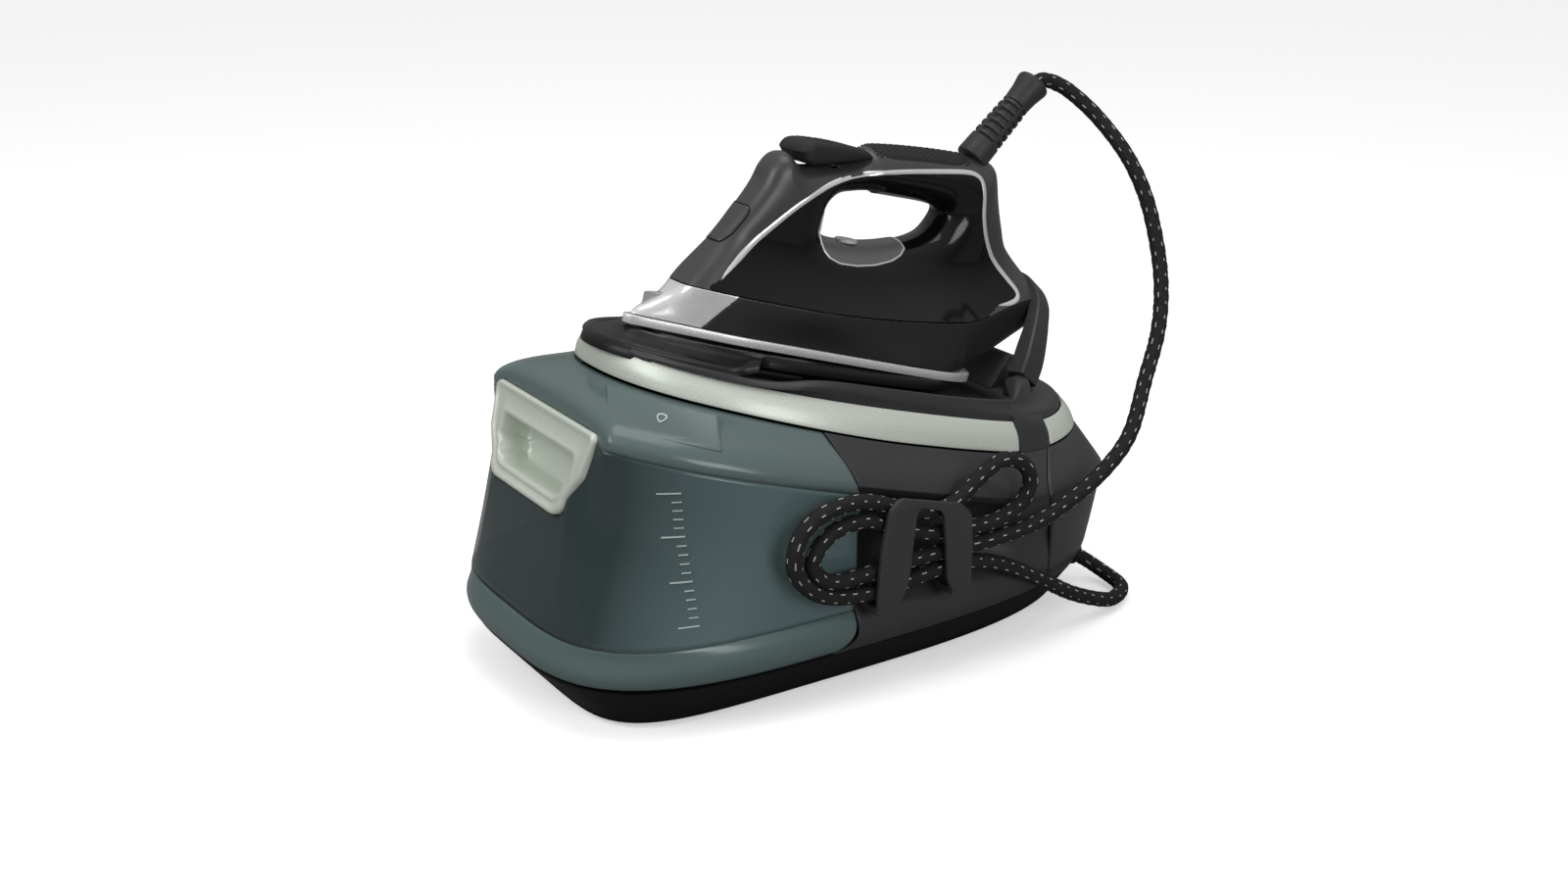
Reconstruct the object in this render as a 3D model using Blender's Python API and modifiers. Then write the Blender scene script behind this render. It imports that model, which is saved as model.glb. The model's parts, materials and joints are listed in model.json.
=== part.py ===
"""Steam generator iron: a pressurised base with a slide-out water tank, and a steam iron on its rest.

Frame: metres, +Z up, origin on the ground at the centre of the base, the tank and the iron's tip at -Y.
The iron's parts are modelled in the iron's own frame, U (back) and V (up) from the tip of its soleplate,
and hang from an empty that is tilted as the rest is.
"""

import math

import bmesh
import bpy
import numpy as np
from mathutils import Vector

MM = 0.001

# Driving dimensions, in millimetres.
TILT = math.radians(16.0)  # the rest slopes down towards the rear
TIP = (0.0, -125.0, 235.0)  # the soleplate's tip, where the iron stands at rest
WALL = 2.2  # casing wall
SEAM = 0.6  # half of the gap between two casings
FOOT_HEIGHT = 4.0
PAN_TOP = 30.0
TANK_SEAM_Y = -36.0
REAR_SEAM_Y = 132.0
COLUMN_FRONT_Y = 112.0
COLUMN_REAR_Y = 146.0
REAR_LEVEL = 105.0  # the widest line of the body behind the slope
HOSE_RADIUS = 5.2
HOOP_RUN = 43.0
HOOP_RISE = 45.0
HANDLE_FOOT = (-203.5, 133.5)
HANDLE_LEAN = math.radians(19.0)
CLIP_X = 146.0
HOOP_PIVOT = (0.0, 150.0, 170.0)
HOSE_EXIT = (57.9, 196.4, 25.8)
CORD_EXIT = (-57.9, 196.4, 25.4)
ORIGIN_SHIFT_Y = -16.55  # puts the origin midway along the overall length, hose included

COLOURS = {
    "black": ((0.012, 0.012, 0.013), 0.45, 0.0),
    "dark_grey": ((0.045, 0.043, 0.046), 0.42, 0.0),
    "gloss_black": ((0.012, 0.012, 0.013), 0.2, 0.0),
    "sage": ((0.55, 0.63, 0.53), 0.35, 0.1),
    "tank": ((0.13, 0.19, 0.19), 0.15, 0.0),
    "silicone": ((0.01, 0.01, 0.01), 0.6, 0.0),
    "steel": ((0.62, 0.62, 0.63), 0.25, 1.0),
    "silver": ((0.75, 0.75, 0.76), 0.2, 1.0),
    "aluminium": ((0.5, 0.5, 0.52), 0.45, 1.0),
    "rubber": ((0.02, 0.02, 0.02), 0.7, 0.0),
    "braid": ((0.03, 0.03, 0.03), 0.8, 0.0),
    "board": ((0.02, 0.14, 0.06), 0.5, 0.0),
    "brass": ((0.6, 0.42, 0.18), 0.3, 1.0),
    "white": ((0.75, 0.76, 0.77), 0.4, 0.0),
}


# ---------------------------------------------------------------- scene, materials and plain helpers


def clear_scene():
    for obj in list(bpy.data.objects):
        bpy.data.objects.remove(obj)


def new_collection(name):
    collection = bpy.data.collections.new(name)
    bpy.context.scene.collection.children.link(collection)
    return collection


def material(name):
    found = bpy.data.materials.get(name)
    if found:
        return found
    colour, roughness, metallic = COLOURS[name]
    made = bpy.data.materials.new(name)
    made.use_nodes = True
    shader = made.node_tree.nodes["Principled BSDF"]
    shader.inputs["Base Color"].default_value = (*colour, 1.0)
    shader.inputs["Roughness"].default_value = roughness
    shader.inputs["Metallic"].default_value = metallic
    return made


def smooth_max(a, b, blend):
    """The larger of a and b, rounded over where they cross."""
    return 0.5 * (a + b + np.sqrt((a - b) ** 2 + blend**2))


def add_mesh(name, verts_mm, faces, finish, parent=None, smooth=True):
    mesh = bpy.data.meshes.new(name)
    mesh.from_pydata([tuple(float(c) * MM for c in v) for v in verts_mm], [], faces)
    mesh.materials.append(material(finish))
    obj = bpy.data.objects.new(name, mesh)
    MODEL.objects.link(obj)
    if parent:
        obj.parent = parent
    work = bmesh.new()
    work.from_mesh(mesh)
    bmesh.ops.remove_doubles(work, verts=work.verts, dist=1e-6)
    bmesh.ops.recalc_face_normals(work, faces=work.faces)
    work.to_mesh(mesh)
    work.free()
    if smooth:
        mesh.shade_smooth()
        mesh.set_sharp_from_angle(angle=math.radians(35))
    return obj


def solidify(obj, thickness_mm=WALL):
    shell = obj.modifiers.new("wall", "SOLIDIFY")
    shell.thickness = thickness_mm * MM
    shell.offset = -1
    shell.use_even_offset = True
    shell.use_quality_normals = True
    return obj


def bevel(obj, width_mm, segments=2, angle=40):
    edge = obj.modifiers.new("edges", "BEVEL")
    edge.width = width_mm * MM
    edge.segments = segments
    edge.limit_method = "ANGLE"
    edge.angle_limit = math.radians(angle)
    return obj


def boolean(obj, other, operation):
    cut = obj.modifiers.new(operation.lower(), "BOOLEAN")
    cut.operation = operation
    cut.object = other
    return obj


def as_cutter(obj):
    for collection in list(obj.users_collection):
        collection.objects.unlink(obj)
    CUTTERS.objects.link(obj)
    obj.hide_render = True
    obj.display_type = "WIRE"
    return obj


def box(name, low, high, finish, parent=None, edge=1.0):
    """A box between two corners, in millimetres."""
    size = [h - l for l, h in zip(low, high)]
    mesh = bpy.data.meshes.new(name)
    work = bmesh.new()
    bmesh.ops.create_cube(work, size=1.0)
    bmesh.ops.scale(work, vec=[s * MM for s in size], verts=work.verts)
    work.to_mesh(mesh)
    work.free()
    mesh.materials.append(material(finish))
    obj = bpy.data.objects.new(name, mesh)
    MODEL.objects.link(obj)
    if parent:
        obj.parent = parent
    obj.location = [(l + h) / 2 * MM for l, h in zip(low, high)]
    if edge:
        bevel(obj, edge)
    return obj


def cylinder(name, start, end, radius, finish, parent=None, segments=24, edge=0.0, radius_end=None):
    """A cylinder, or a cone, from start to end, in millimetres."""
    start, end = Vector(start), Vector(end)
    axis = end - start
    mesh = bpy.data.meshes.new(name)
    work = bmesh.new()
    bmesh.ops.create_cone(
        work,
        cap_ends=True,
        segments=segments,
        radius1=radius * MM,
        radius2=(radius if radius_end is None else radius_end) * MM,
        depth=axis.length * MM,
    )
    work.to_mesh(mesh)
    work.free()
    mesh.materials.append(material(finish))
    obj = bpy.data.objects.new(name, mesh)
    MODEL.objects.link(obj)
    if parent:
        obj.parent = parent
    obj.rotation_euler = axis.to_track_quat("Z", "Y").to_euler()
    obj.location = (start + end) / 2 * MM
    mesh.shade_smooth()
    mesh.set_sharp_from_angle(angle=math.radians(35))
    if edge:
        bevel(obj, edge)
    return obj


def torus(name, centre, major, minor, finish, rotation=(0, 0, 0), parent=None):
    bpy.ops.mesh.primitive_torus_add(
        major_radius=major * MM, minor_radius=minor * MM, major_segments=20, minor_segments=8
    )
    obj = bpy.context.object
    obj.name = name
    for collection in list(obj.users_collection):
        collection.objects.unlink(obj)
    MODEL.objects.link(obj)
    if parent:
        obj.parent = parent
    obj.location = [c * MM for c in centre]
    obj.rotation_euler = rotation
    obj.data.materials.append(material(finish))
    obj.data.shade_smooth()
    return obj


def outline_plate(name, points, depth, finish, parent=None, edge=0.0):
    """A flat outline in X and Y, extruded along its own Z by depth on either side, in millimetres."""
    curve = bpy.data.curves.new(name, "CURVE")
    curve.dimensions = "2D"
    curve.fill_mode = "BOTH"
    curve.extrude = depth * MM
    spline = curve.splines.new("POLY")
    spline.points.add(len(points) - 1)
    for point, (x, y) in zip(spline.points, points):
        point.co = (x * MM, y * MM, 0, 1)
    spline.use_cyclic_u = True
    made = bpy.data.objects.new(name + "_curve", curve)
    MODEL.objects.link(made)
    return curve_to_mesh(made, name, finish, parent, edge)


def curve_to_mesh(made, name, finish, parent=None, edge=0.0):
    graph = bpy.context.evaluated_depsgraph_get()
    mesh = bpy.data.meshes.new_from_object(made.evaluated_get(graph))
    work = bmesh.new()
    work.from_mesh(mesh)
    bmesh.ops.remove_doubles(work, verts=work.verts, dist=1e-6)
    bmesh.ops.dissolve_limit(work, angle_limit=math.radians(0.5), verts=work.verts, edges=work.edges)
    work.to_mesh(mesh)
    work.free()
    mesh.materials.clear()
    mesh.materials.append(material(finish))
    obj = bpy.data.objects.new(name, mesh)
    MODEL.objects.link(obj)
    obj.matrix_world = made.matrix_world
    if parent:
        obj.parent = parent
    bpy.data.objects.remove(made)
    mesh.shade_smooth()
    mesh.set_sharp_from_angle(angle=math.radians(35))
    if edge:
        bevel(obj, edge)
    return obj


def tube(name, points, radius, finish, parent=None, sides=2):
    """A round wire through the points, in millimetres, as a poly curve with filled caps."""
    curve = bpy.data.curves.new(name, "CURVE")
    curve.dimensions = "3D"
    curve.bevel_depth = radius * MM
    curve.bevel_resolution = sides
    curve.use_fill_caps = True
    spline = curve.splines.new("POLY")
    spline.points.add(len(points) - 1)
    for point, co in zip(spline.points, points):
        point.co = (co[0] * MM, co[1] * MM, co[2] * MM, 1)
    curve.materials.append(material(finish))
    obj = bpy.data.objects.new(name, curve)
    MODEL.objects.link(obj)
    if parent:
        obj.parent = parent
    return obj


def smooth_path(points, step_mm):
    """Evenly spaced points on the Catmull-Rom curve through the given points."""
    pts = np.array(points, float)
    ends = np.vstack([2 * pts[0] - pts[1], pts, 2 * pts[-1] - pts[-2]])
    dense = []
    for a, b, c, d in zip(ends, ends[1:], ends[2:], ends[3:]):
        for t in np.linspace(0, 1, 24, endpoint=False):
            dense.append(
                0.5
                * (2 * b + (c - a) * t + (2 * a - 5 * b + 4 * c - d) * t**2 + (3 * b - a - 3 * c + d) * t**3)
            )
    dense = np.array(dense + [pts[-1]])
    length = np.concatenate([[0], np.cumsum(np.linalg.norm(np.diff(dense, axis=0), axis=1))])
    even = np.linspace(0, length[-1], max(2, int(length[-1] / step_mm)))
    return np.stack([np.interp(even, length, dense[:, k]) for k in range(3)], 1)


# ---------------------------------------------------------------- the base's outer surface


def rest_plane(y, above):
    """Height of the plane that lies `above` the iron's soleplate, square to it, at a given y."""
    return TIP[2] - math.tan(TILT) * (y - TIP[1]) + above / math.cos(TILT)


class Level:
    """One line round the base: two superellipse halves that meet at the widest place, and a height."""

    def __init__(self, half_width, y_wide, y_front, y_rear, p_front, p_rear, height):
        self.half_width = half_width
        self.y_wide = y_wide
        self.y_front = y_front
        self.y_rear = y_rear
        self.p_front = p_front
        self.p_rear = p_rear
        self.height = height

    def half(self):
        """Dense points down the +X side, from the front centre to the rear centre."""
        angle = np.linspace(0, math.pi / 2, 200)
        front_x = self.half_width * np.sin(angle) ** (2 / self.p_front)
        front_y = self.y_wide - (self.y_wide - self.y_front) * np.cos(angle) ** (2 / self.p_front)
        rear_x = self.half_width * np.cos(angle) ** (2 / self.p_rear)
        rear_y = self.y_wide + (self.y_rear - self.y_wide) * np.sin(angle) ** (2 / self.p_rear)
        return np.concatenate([front_x, rear_x[1:]]), np.concatenate([front_y, rear_y[1:]])

    def span(self, y0, y1, count, inset=0.0):
        """Evenly spaced points on the +X side between two y values, with their heights."""
        x, y = self.half()
        keep = (y > y0) & (y < y1)
        ends_x = np.interp([y0, y1], y, x)
        x = np.concatenate([[ends_x[0]], x[keep], [ends_x[1]]])
        y = np.concatenate([[max(y0, self.y_front)], y[keep], [min(y1, self.y_rear)]])
        length = np.concatenate([[0], np.cumsum(np.hypot(np.diff(x), np.diff(y)))])
        even = np.linspace(0, length[-1], count)
        x, y = np.interp(even, length, x), np.interp(even, length, y)
        return np.stack([x, y, self.height(y) + 0 * y - inset], 1)


def floor_height(z):
    return lambda y: z + 0 * y


def sloped_height(above, rear_floor, shift=0.0):
    """Follows the iron's rest at the front and levels off at the rear."""
    return lambda y: smooth_max(rest_plane(y, above), rear_floor, 8.0) + shift


def deck_edge_height(y):
    """Just under the soleplate at the sides, dipping at the front to pass below the rest's rim."""
    above = -12 + 8.5 / (1 + np.exp(-(y + 58) / 5))
    return smooth_max(rest_plane(y, above), 157, 6.0)


FOOT_LINE = Level(106, -30, -197, 205, 5.0, 3.0, floor_height(FOOT_HEIGHT))
PAN_LINE = Level(123, -35, -220, 212, 3.4, 3.2, floor_height(PAN_TOP))
BULGE_LOW = Level(126, -36, -224, 213, 3.3, 3.2, floor_height(34))
BULGE_MID = Level(131, -40, -229, 216, 3.2, 3.2, floor_height(43))
BULGE_TOP = Level(130, -40, -225, 217, 3.2, 3.4, floor_height(55))
WALL_FOOT = Level(126.5, -38, -217, 217, 3.2, 3.4, floor_height(60))
RIDGE = Level(131, 45, -203, 221, 2.9, 3.2, sloped_height(-62, REAR_LEVEL - 3))
RIDGE_TOP = Level(129.5, 44, -201, 219, 2.9, 3.2, sloped_height(-59, REAR_LEVEL))
BAND_LOW = Level(112, 30, -161, 212, 2.5, 2.8, sloped_height(-36, 126))
BAND_HIGH = Level(105, 35, -155, 206, 2.4, 2.6, sloped_height(-15, 141))
DECK_EDGE = Level(103, 20, -142, 184, 2.4, 2.5, lambda y: deck_edge_height(y))
DECK_FLOOR = Level(88, 20, -134, 168, 2.4, 2.5, sloped_height(-14, 142))
CORE_FOOT = Level(98, -30, -178, 120, 3.2, 3.0, floor_height(PAN_TOP - 2))
CORE_TOP = Level(84, -30, -146, 120, 3.0, 3.0, sloped_height(-42, 60))


def shifted(level, dz=0.0, shrink=0.0):
    """The same line moved up by dz and in by shrink."""
    return Level(
        level.half_width - shrink,
        level.y_wide,
        level.y_front + shrink,
        level.y_rear - shrink,
        level.p_front,
        level.p_rear,
        lambda y, base=level.height: base(y) + dz,
    )


def mirrored_span(level, y_end, count):
    """From -X round the front to +X, up to y_end on both sides."""
    half = level.span(-1e3, y_end, count)
    return np.vstack([half[:0:-1] * [-1, 1, 1], half])


def rear_span(level, y_start, count):
    """From +X round the rear to -X."""
    half = level.span(y_start, 1e3, count)
    return np.vstack([half, half[-2::-1] * [-1, 1, 1]])


def grid_faces(rows, columns, wrap=False, skip=()):
    faces = []
    for r in range(rows - 1):
        for c in range(columns if wrap else columns - 1):
            if (r, c) in skip:
                continue
            d = (c + 1) % columns
            faces.append((r * columns + c, r * columns + d, (r + 1) * columns + d, (r + 1) * columns + c))
    return faces


def patch(name, rows, finish, thickness=WALL, parent=None):
    """A casing: an open grid of points, given as rows from low to high, with a wall inside it."""
    verts = np.vstack(rows)
    faces = grid_faces(len(rows), len(rows[0]))
    obj = add_mesh(name, verts, faces, finish, parent)
    face_out(obj)
    return solidify(obj, thickness)


def face_out(obj):
    """Turns an open surface so that its faces look away from the base's upright axis."""
    mesh = obj.data
    total = sum(
        f.area * (f.normal.x * f.center.x + f.normal.y * (f.center.y - 0.0)) for f in mesh.polygons
    )
    if total < 0:
        mesh.flip_normals()


# ---------------------------------------------------------------- base: pan, feet, casings


def build_pan():
    ring_low = rear_span(FOOT_LINE, -1e3, 19)[:-1]
    ring_high = rear_span(PAN_LINE, -1e3, 19)[:-1]
    inner = rear_span(shifted(FOOT_LINE, shrink=7), -1e3, 19)[:-1]
    inner[:, 2] = FOOT_HEIGHT
    count = len(ring_low)
    verts = np.vstack([inner, ring_low + [0, 0, 2.5], ring_high])
    faces = [tuple(range(count))] + grid_faces(3, count, wrap=True)
    pan = add_mesh("base_pan", verts, faces, "black")
    solidify(pan, 2.5)
    for name, x, y in (
        ("foot_front_right", 78, -150),
        ("foot_front_left", -78, -150),
        ("foot_rear_right", 72, 150),
        ("foot_rear_left", -72, 150),
    ):
        cylinder(name, (x, y, 0), (x, y, FOOT_HEIGHT - 0.3), 9, "rubber", segments=20)


def groove_depth(y):
    """How deep the hose channel is pressed into the side, fading out towards the rear."""
    rise = 1 / (1 + np.exp(-(y + 40) / 6))
    fall = 1 / (1 + np.exp((y - 92) / 12))
    return 13.0 * rise * fall


def side_rows(side):
    """The +X or -X side panel between the tank and the rear seam, from the pan to the green band."""
    count = 10
    rows = []
    plan = [
        (shifted(PAN_LINE, dz=SEAM), TANK_SEAM_Y - 14, REAR_SEAM_Y + 2, 0.0),
        (BULGE_LOW, TANK_SEAM_Y - 6, REAR_SEAM_Y + 2, 0.0),
        (BULGE_MID, TANK_SEAM_Y, REAR_SEAM_Y, 0.0),
        (BULGE_TOP, TANK_SEAM_Y, REAR_SEAM_Y, 0.0),
        (shifted(BULGE_TOP, dz=9), TANK_SEAM_Y, REAR_SEAM_Y, 0.6),
        (shifted(BULGE_TOP, dz=14), TANK_SEAM_Y, REAR_SEAM_Y, 1.0),
        (shifted(RIDGE, dz=-10), TANK_SEAM_Y, REAR_SEAM_Y - 1, 0.9),
        (shifted(RIDGE, dz=-4), TANK_SEAM_Y, REAR_SEAM_Y - 1, 0.25),
        (RIDGE, TANK_SEAM_Y, REAR_SEAM_Y - 2, 0.0),
        (RIDGE_TOP, TANK_SEAM_Y - 1, REAR_SEAM_Y - 2, 0.0),
        (shifted(BAND_LOW, dz=-SEAM), TANK_SEAM_Y - 10, REAR_SEAM_Y + 10, 0.0),
    ]
    for level, y0, y1, groove in plan:
        row = level.span(y0 + SEAM, y1 - SEAM, count)
        row[:, 0] -= groove * groove_depth(row[:, 1])
        rows.append(row * [side, 1, 1])
    return rows


def build_side_panels():
    for side, word in ((1, "right"), (-1, "left")):
        patch(f"side_panel_{word}", side_rows(side), "dark_grey")
        column = [
            level.span(COLUMN_FRONT_Y + SEAM, COLUMN_REAR_Y - SEAM, 5) * [side, 1, 1]
            for level in (
                shifted(BAND_LOW, dz=SEAM),
                BAND_HIGH,
                shifted(DECK_EDGE, dz=-4.5),
            )
        ]
        patch(f"column_{word}", column, "dark_grey")


def build_rear_cover():
    rows = [
        rear_span(level, y + SEAM, 9)
        for level, y in (
            (shifted(PAN_LINE, dz=SEAM), REAR_SEAM_Y + 2),
            (BULGE_MID, REAR_SEAM_Y),
            (BULGE_TOP, REAR_SEAM_Y),
            (RIDGE, REAR_SEAM_Y - 2),
            (RIDGE_TOP, REAR_SEAM_Y - 2),
            (shifted(BAND_LOW, dz=-SEAM), REAR_SEAM_Y + 10),
        )
    ]
    patch("rear_cover", rows, "dark_grey")


def build_trim():
    low, high = shifted(BAND_LOW, dz=SEAM), shifted(BAND_HIGH, dz=-1.2)
    patch(
        "trim_band_front",
        [mirrored_span(level, COLUMN_FRONT_Y - SEAM, 16) for level in (low, high)],
        "sage",
        1.8,
    )
    patch(
        "trim_band_rear",
        [rear_span(level, COLUMN_REAR_Y + SEAM, 6) for level in (low, high)],
        "sage",
        1.8,
    )


def build_deck():
    """The dark top casing: a short side wall, open where the columns stand, and a sunken floor."""
    count = 21
    low = rear_span(shifted(BAND_HIGH, dz=1.0), -1e3, count)[:-1]
    edge = rear_span(DECK_EDGE, -1e3, count)[:-1]
    floor = rear_span(DECK_FLOOR, -1e3, count)[:-1]
    total = len(low)
    skip = set()
    for c in range(total):
        y = (low[c][1] + low[(c + 1) % total][1]) / 2
        if COLUMN_FRONT_Y - 12 < y < COLUMN_REAR_Y + 12:
            skip.add((0, c))
    faces = grid_faces(3, total, wrap=True, skip=skip)
    for k in range(total // 2):
        a, b = 2 * total + k, 2 * total + k + 1
        c, d = 2 * total + (total - k - 1) % total, 2 * total + (total - k) % total
        faces.append(tuple(dict.fromkeys((a, b, c, d))))
    deck = add_mesh("top_deck", np.vstack([low, edge, floor]), faces, "dark_grey")
    solidify(deck, 2.0)


def build_iron_rest():
    """The heat-resistant rest: a black pad whose front half is a rim that overhangs the casing."""
    rim = [(x, y) for x, y, _ in mirrored_span(Level(85, 20, -141, 100, 2.8, 2.5, floor_height(0)), -78, 14)]
    body = mirrored_span(Level(66, -20, -100, 112, 2.5, 4.0, floor_height(0)), 1e3, 16)
    right = [(x, y) for x, y, _ in body if y > -60 and x > 0]
    rear = [(0.0, 112.0)]
    left = [(-x, y) for x, y in reversed(right)]
    plan = rim + [(68, -70)] + right + rear + left + [(-68, -70)]
    slant = math.cos(TILT)
    points = [(x, (y - TIP[1]) / slant) for x, y in plan]
    pad = outline_plate("iron_rest", points, 4.0, "silicone", IRON_STAND, edge=1.2)
    pad.location = (0, 0, -4.5 * MM)


# ---------------------------------------------------------------- base: tank, handle, flap


def tank_block(name, inset):
    """The U-shaped tank as a closed block, or the space inside it when inset by the wall."""
    outer = [
        (shifted(BULGE_LOW, dz=inset - 2, shrink=6), 22),
        (shifted(BULGE_LOW, dz=inset), 14),
        (BULGE_MID, 3),
        (BULGE_TOP, 0),
        (WALL_FOOT, 0),
        (shifted(RIDGE, dz=-45), 0),
        (RIDGE, 0),
        (RIDGE_TOP, 1),
        (shifted(BAND_LOW, dz=-1.3 - inset, shrink=0.5), 10),
    ]
    inner = [
        (shifted(CORE_TOP, dz=-2 - inset, shrink=-1.5 - inset), 10),
        (shifted(CORE_FOOT, dz=4 + inset, shrink=-1.5 - inset), 10),
    ]
    rows = []
    for level, back in outer:
        row = mirrored_span(shifted(level, shrink=inset), TANK_SEAM_Y - back - SEAM - inset, 15)
        row[:, 1] = np.maximum(row[:, 1], handle_plane(row[:, 2]) + 1.5 + inset)
        rows.append(row)
    rows += [mirrored_span(level, TANK_SEAM_Y - back - SEAM - inset, 15) for level, back in inner]
    stations, loop = len(rows[0]), len(rows)
    verts = [rows[k][s] for s in range(stations) for k in range(loop)]
    faces = grid_faces(stations, loop, wrap=True)
    faces += [tuple(range(loop)), tuple(range((stations - 1) * loop, stations * loop))]
    return add_mesh(name, verts, faces, "tank")


def build_core():
    """The base's inner housing that the tank wraps round."""
    rows = [mirrored_span(level, 60, 11) for level in (CORE_FOOT, CORE_TOP)]
    patch("inner_housing", rows, "black", 2.5)


def build_tank():
    tank = tank_block("water_tank", 0.0)
    space = as_cutter(tank_block("tank_space", 2.4))
    boolean(tank, space, "DIFFERENCE")
    window = as_cutter(handle_tub("handle_window", 0.5, "tank", 0))
    boolean(tank, window, "DIFFERENCE")
    port = as_cutter(cylinder("tank_valve_port", (-110, -60, 46), (-110, -30, 46), 5.4, "tank"))
    boolean(tank, port, "DIFFERENCE")
    cylinder("tank_valve", (-110, -52, 46), (-110, -36.5, 46), 5.0, "black", edge=0.8)
    neck = as_cutter(cylinder("filler_cutter", (80, -134, 165), (95, -150, 210), 13, "tank"))
    boolean(tank, neck, "DIFFERENCE")


def build_flap():
    """The filler flap, which follows the tank's shoulder and swings on a pair of short pins."""
    lift = 0.5
    rows = []
    for share in (0.16, 0.5, 0.84):
        low = RIDGE_TOP.span(-181 - 1, -124, 9)
        high = BAND_LOW.span(-150, -108, 9)
        row = low * (1 - share) + high * share
        row[:, 0] += 1.2 + lift
        row[:, 1] -= 1.2
        row[:, 2] += 2.4 + lift
        rows.append(row)
    patch("filler_flap", rows, "tank", 1.8)


def handle_plane(z):
    """The y of the flat at the front of the tank, which leans back as it rises."""
    return HANDLE_FOOT[0] + (z - HANDLE_FOOT[1]) * math.tan(HANDLE_LEAN)


def handle_ring(top_half, low_half, low, high, depth):
    """A closed ring of the handle's outline, sunk by depth behind the flat."""
    ring = [(-top_half, high), (-(top_half + low_half) / 2 - 2, (low + high) / 2)]
    for k in range(4):
        turn = math.pi + k / 3 * math.pi / 2
        ring.append((-low_half + 10 + 10 * math.cos(turn), low + 10 + 10 * math.sin(turn)))
    ring += [(-x, y) for x, y in reversed(ring)]
    lean = HANDLE_LEAN
    return [
        (
            x,
            HANDLE_FOOT[0] + y * math.sin(lean) + depth * math.cos(lean),
            HANDLE_FOOT[1] + y * math.cos(lean) - depth * math.sin(lean),
        )
        for x, y in ring
    ]


def handle_tub(name, grow, finish, wall):
    """The handle as a dished tub: a broad face, a finger pocket and its floor."""
    high = 58.0
    rings = [
        handle_ring(67 + grow, 50 + grow, -grow, high + grow, -0.5 - grow),
        handle_ring(52 + grow, 44 + grow, 14 - grow, high - 18 + grow, 0.0),
        handle_ring(50 + grow, 42 + grow, 16 - grow, high - 20 + grow, 20 + grow),
    ]
    count = len(rings[0])
    faces = grid_faces(3, count, wrap=True) + [tuple(range(2 * count, 3 * count))]
    if not wall:
        faces = grid_faces(3, count, wrap=True)
        faces += [tuple(range(2 * count, 3 * count)), tuple(range(count))]
    made = add_mesh(name, [p for ring in rings for p in ring], faces, finish, smooth=False)
    if wall:
        solidify(made, wall)
        made.modifiers["wall"].offset = 1
    return made


def build_tank_handle():
    """The grip at the front of the tank, with a deep finger pocket, fixed in a window of the tank's wall."""
    handle_tub("tank_handle", 0.0, "sage", 2.0)


# ---------------------------------------------------------------- base: hoop, panel, clips, hoses


def strap(name, path, width_axis, half_width, thickness, finish):
    """A flat strap that follows a path, with its width along one axis."""
    path = smooth_path(path, 9.0)
    tangent = np.gradient(path, axis=0)
    tangent /= np.linalg.norm(tangent, axis=1)[:, None]
    across = np.array(width_axis, float)
    normal = np.cross(tangent, across)
    normal /= np.linalg.norm(normal, axis=1)[:, None]
    verts = []
    for point, out in zip(path, normal):
        for w, t in ((-1, -1), (1, -1), (1, 1), (-1, 1)):
            verts.append(point + across * w * half_width + out * t * thickness / 2)
    count = len(path)
    faces = grid_faces(count, 4, wrap=True) + [(0, 1, 2, 3), tuple(range(4 * count - 4, 4 * count))]
    return add_mesh(name, verts, faces, finish)


def build_hoop():
    """The retaining hoop that holds the iron's heel and swings back on two pins."""
    pivot = bpy.data.objects.new("hoop_pivot", None)
    MODEL.objects.link(pivot)
    pivot.location = [c * MM for c in HOOP_PIVOT]
    lean = HOOP_RUN / math.hypot(HOOP_RUN, HOOP_RISE)
    across = np.array([0.0, math.sqrt(1 - lean**2), -lean])
    half = [(63, -1, -5), (60, 6, 4), (54, 15, 15), (46, 25, 26), (34, 36, 37), (14, HOOP_RUN, HOOP_RISE)]
    path = half + [(-x, y, z) for x, y, z in reversed(half)]
    hoop = strap("heel_hoop", path, across, 7.5, 8.0, "dark_grey")
    hoop.parent = pivot
    x, y, z = HOOP_PIVOT
    for word, side in (("right", 1), ("left", -1)):
        stub = as_cutter(cylinder(f"hoop_stub_{word}", (side * 52, 2, 0), (side * 61, 2, 0), 3.0, "steel", pivot))
        boolean(hoop, stub, "UNION")
        low, high = sorted((side * 48.5, side * 53.6))
        lug = box(f"hoop_lug_{word}", (low, y - 6, 153.8), (high, y + 10, 175), "black", edge=0)
        seat = as_cutter(cylinder(f"hoop_seat_{word}", (side * 45, y + 2, z), (side * 60, y + 2, z), 3.3, "black"))
        boolean(lug, seat, "DIFFERENCE")


def build_control_panel():
    """The console behind the heel, with its two buttons."""
    profile = [(139, 153), (156, 174), (163, 174), (163, 153)]
    verts = [(x, y, z) for x in (-40, 40) for y, z in profile]
    faces = grid_faces(2, 4, wrap=True) + [(0, 1, 2, 3), (4, 5, 6, 7)]
    panel = add_mesh("control_panel", verts, faces, "dark_grey", smooth=False)
    slope = math.atan2(21, 17)
    out = Vector((0, -math.sin(slope), math.cos(slope)))
    centre = Vector((0, 147.5, 163.5))
    for word, x in (("power_button", -30), ("boost_button", -8)):
        base = centre + Vector((x, 0, 0))
        pocket = as_cutter(cylinder(f"{word}_pocket", base - out * 4, base + out * 4, 6.9, "black"))
        boolean(panel, pocket, "DIFFERENCE")
        cylinder(word, base - out * 2, base + out * 2, 6.5, "silver", edge=0.6)


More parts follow.
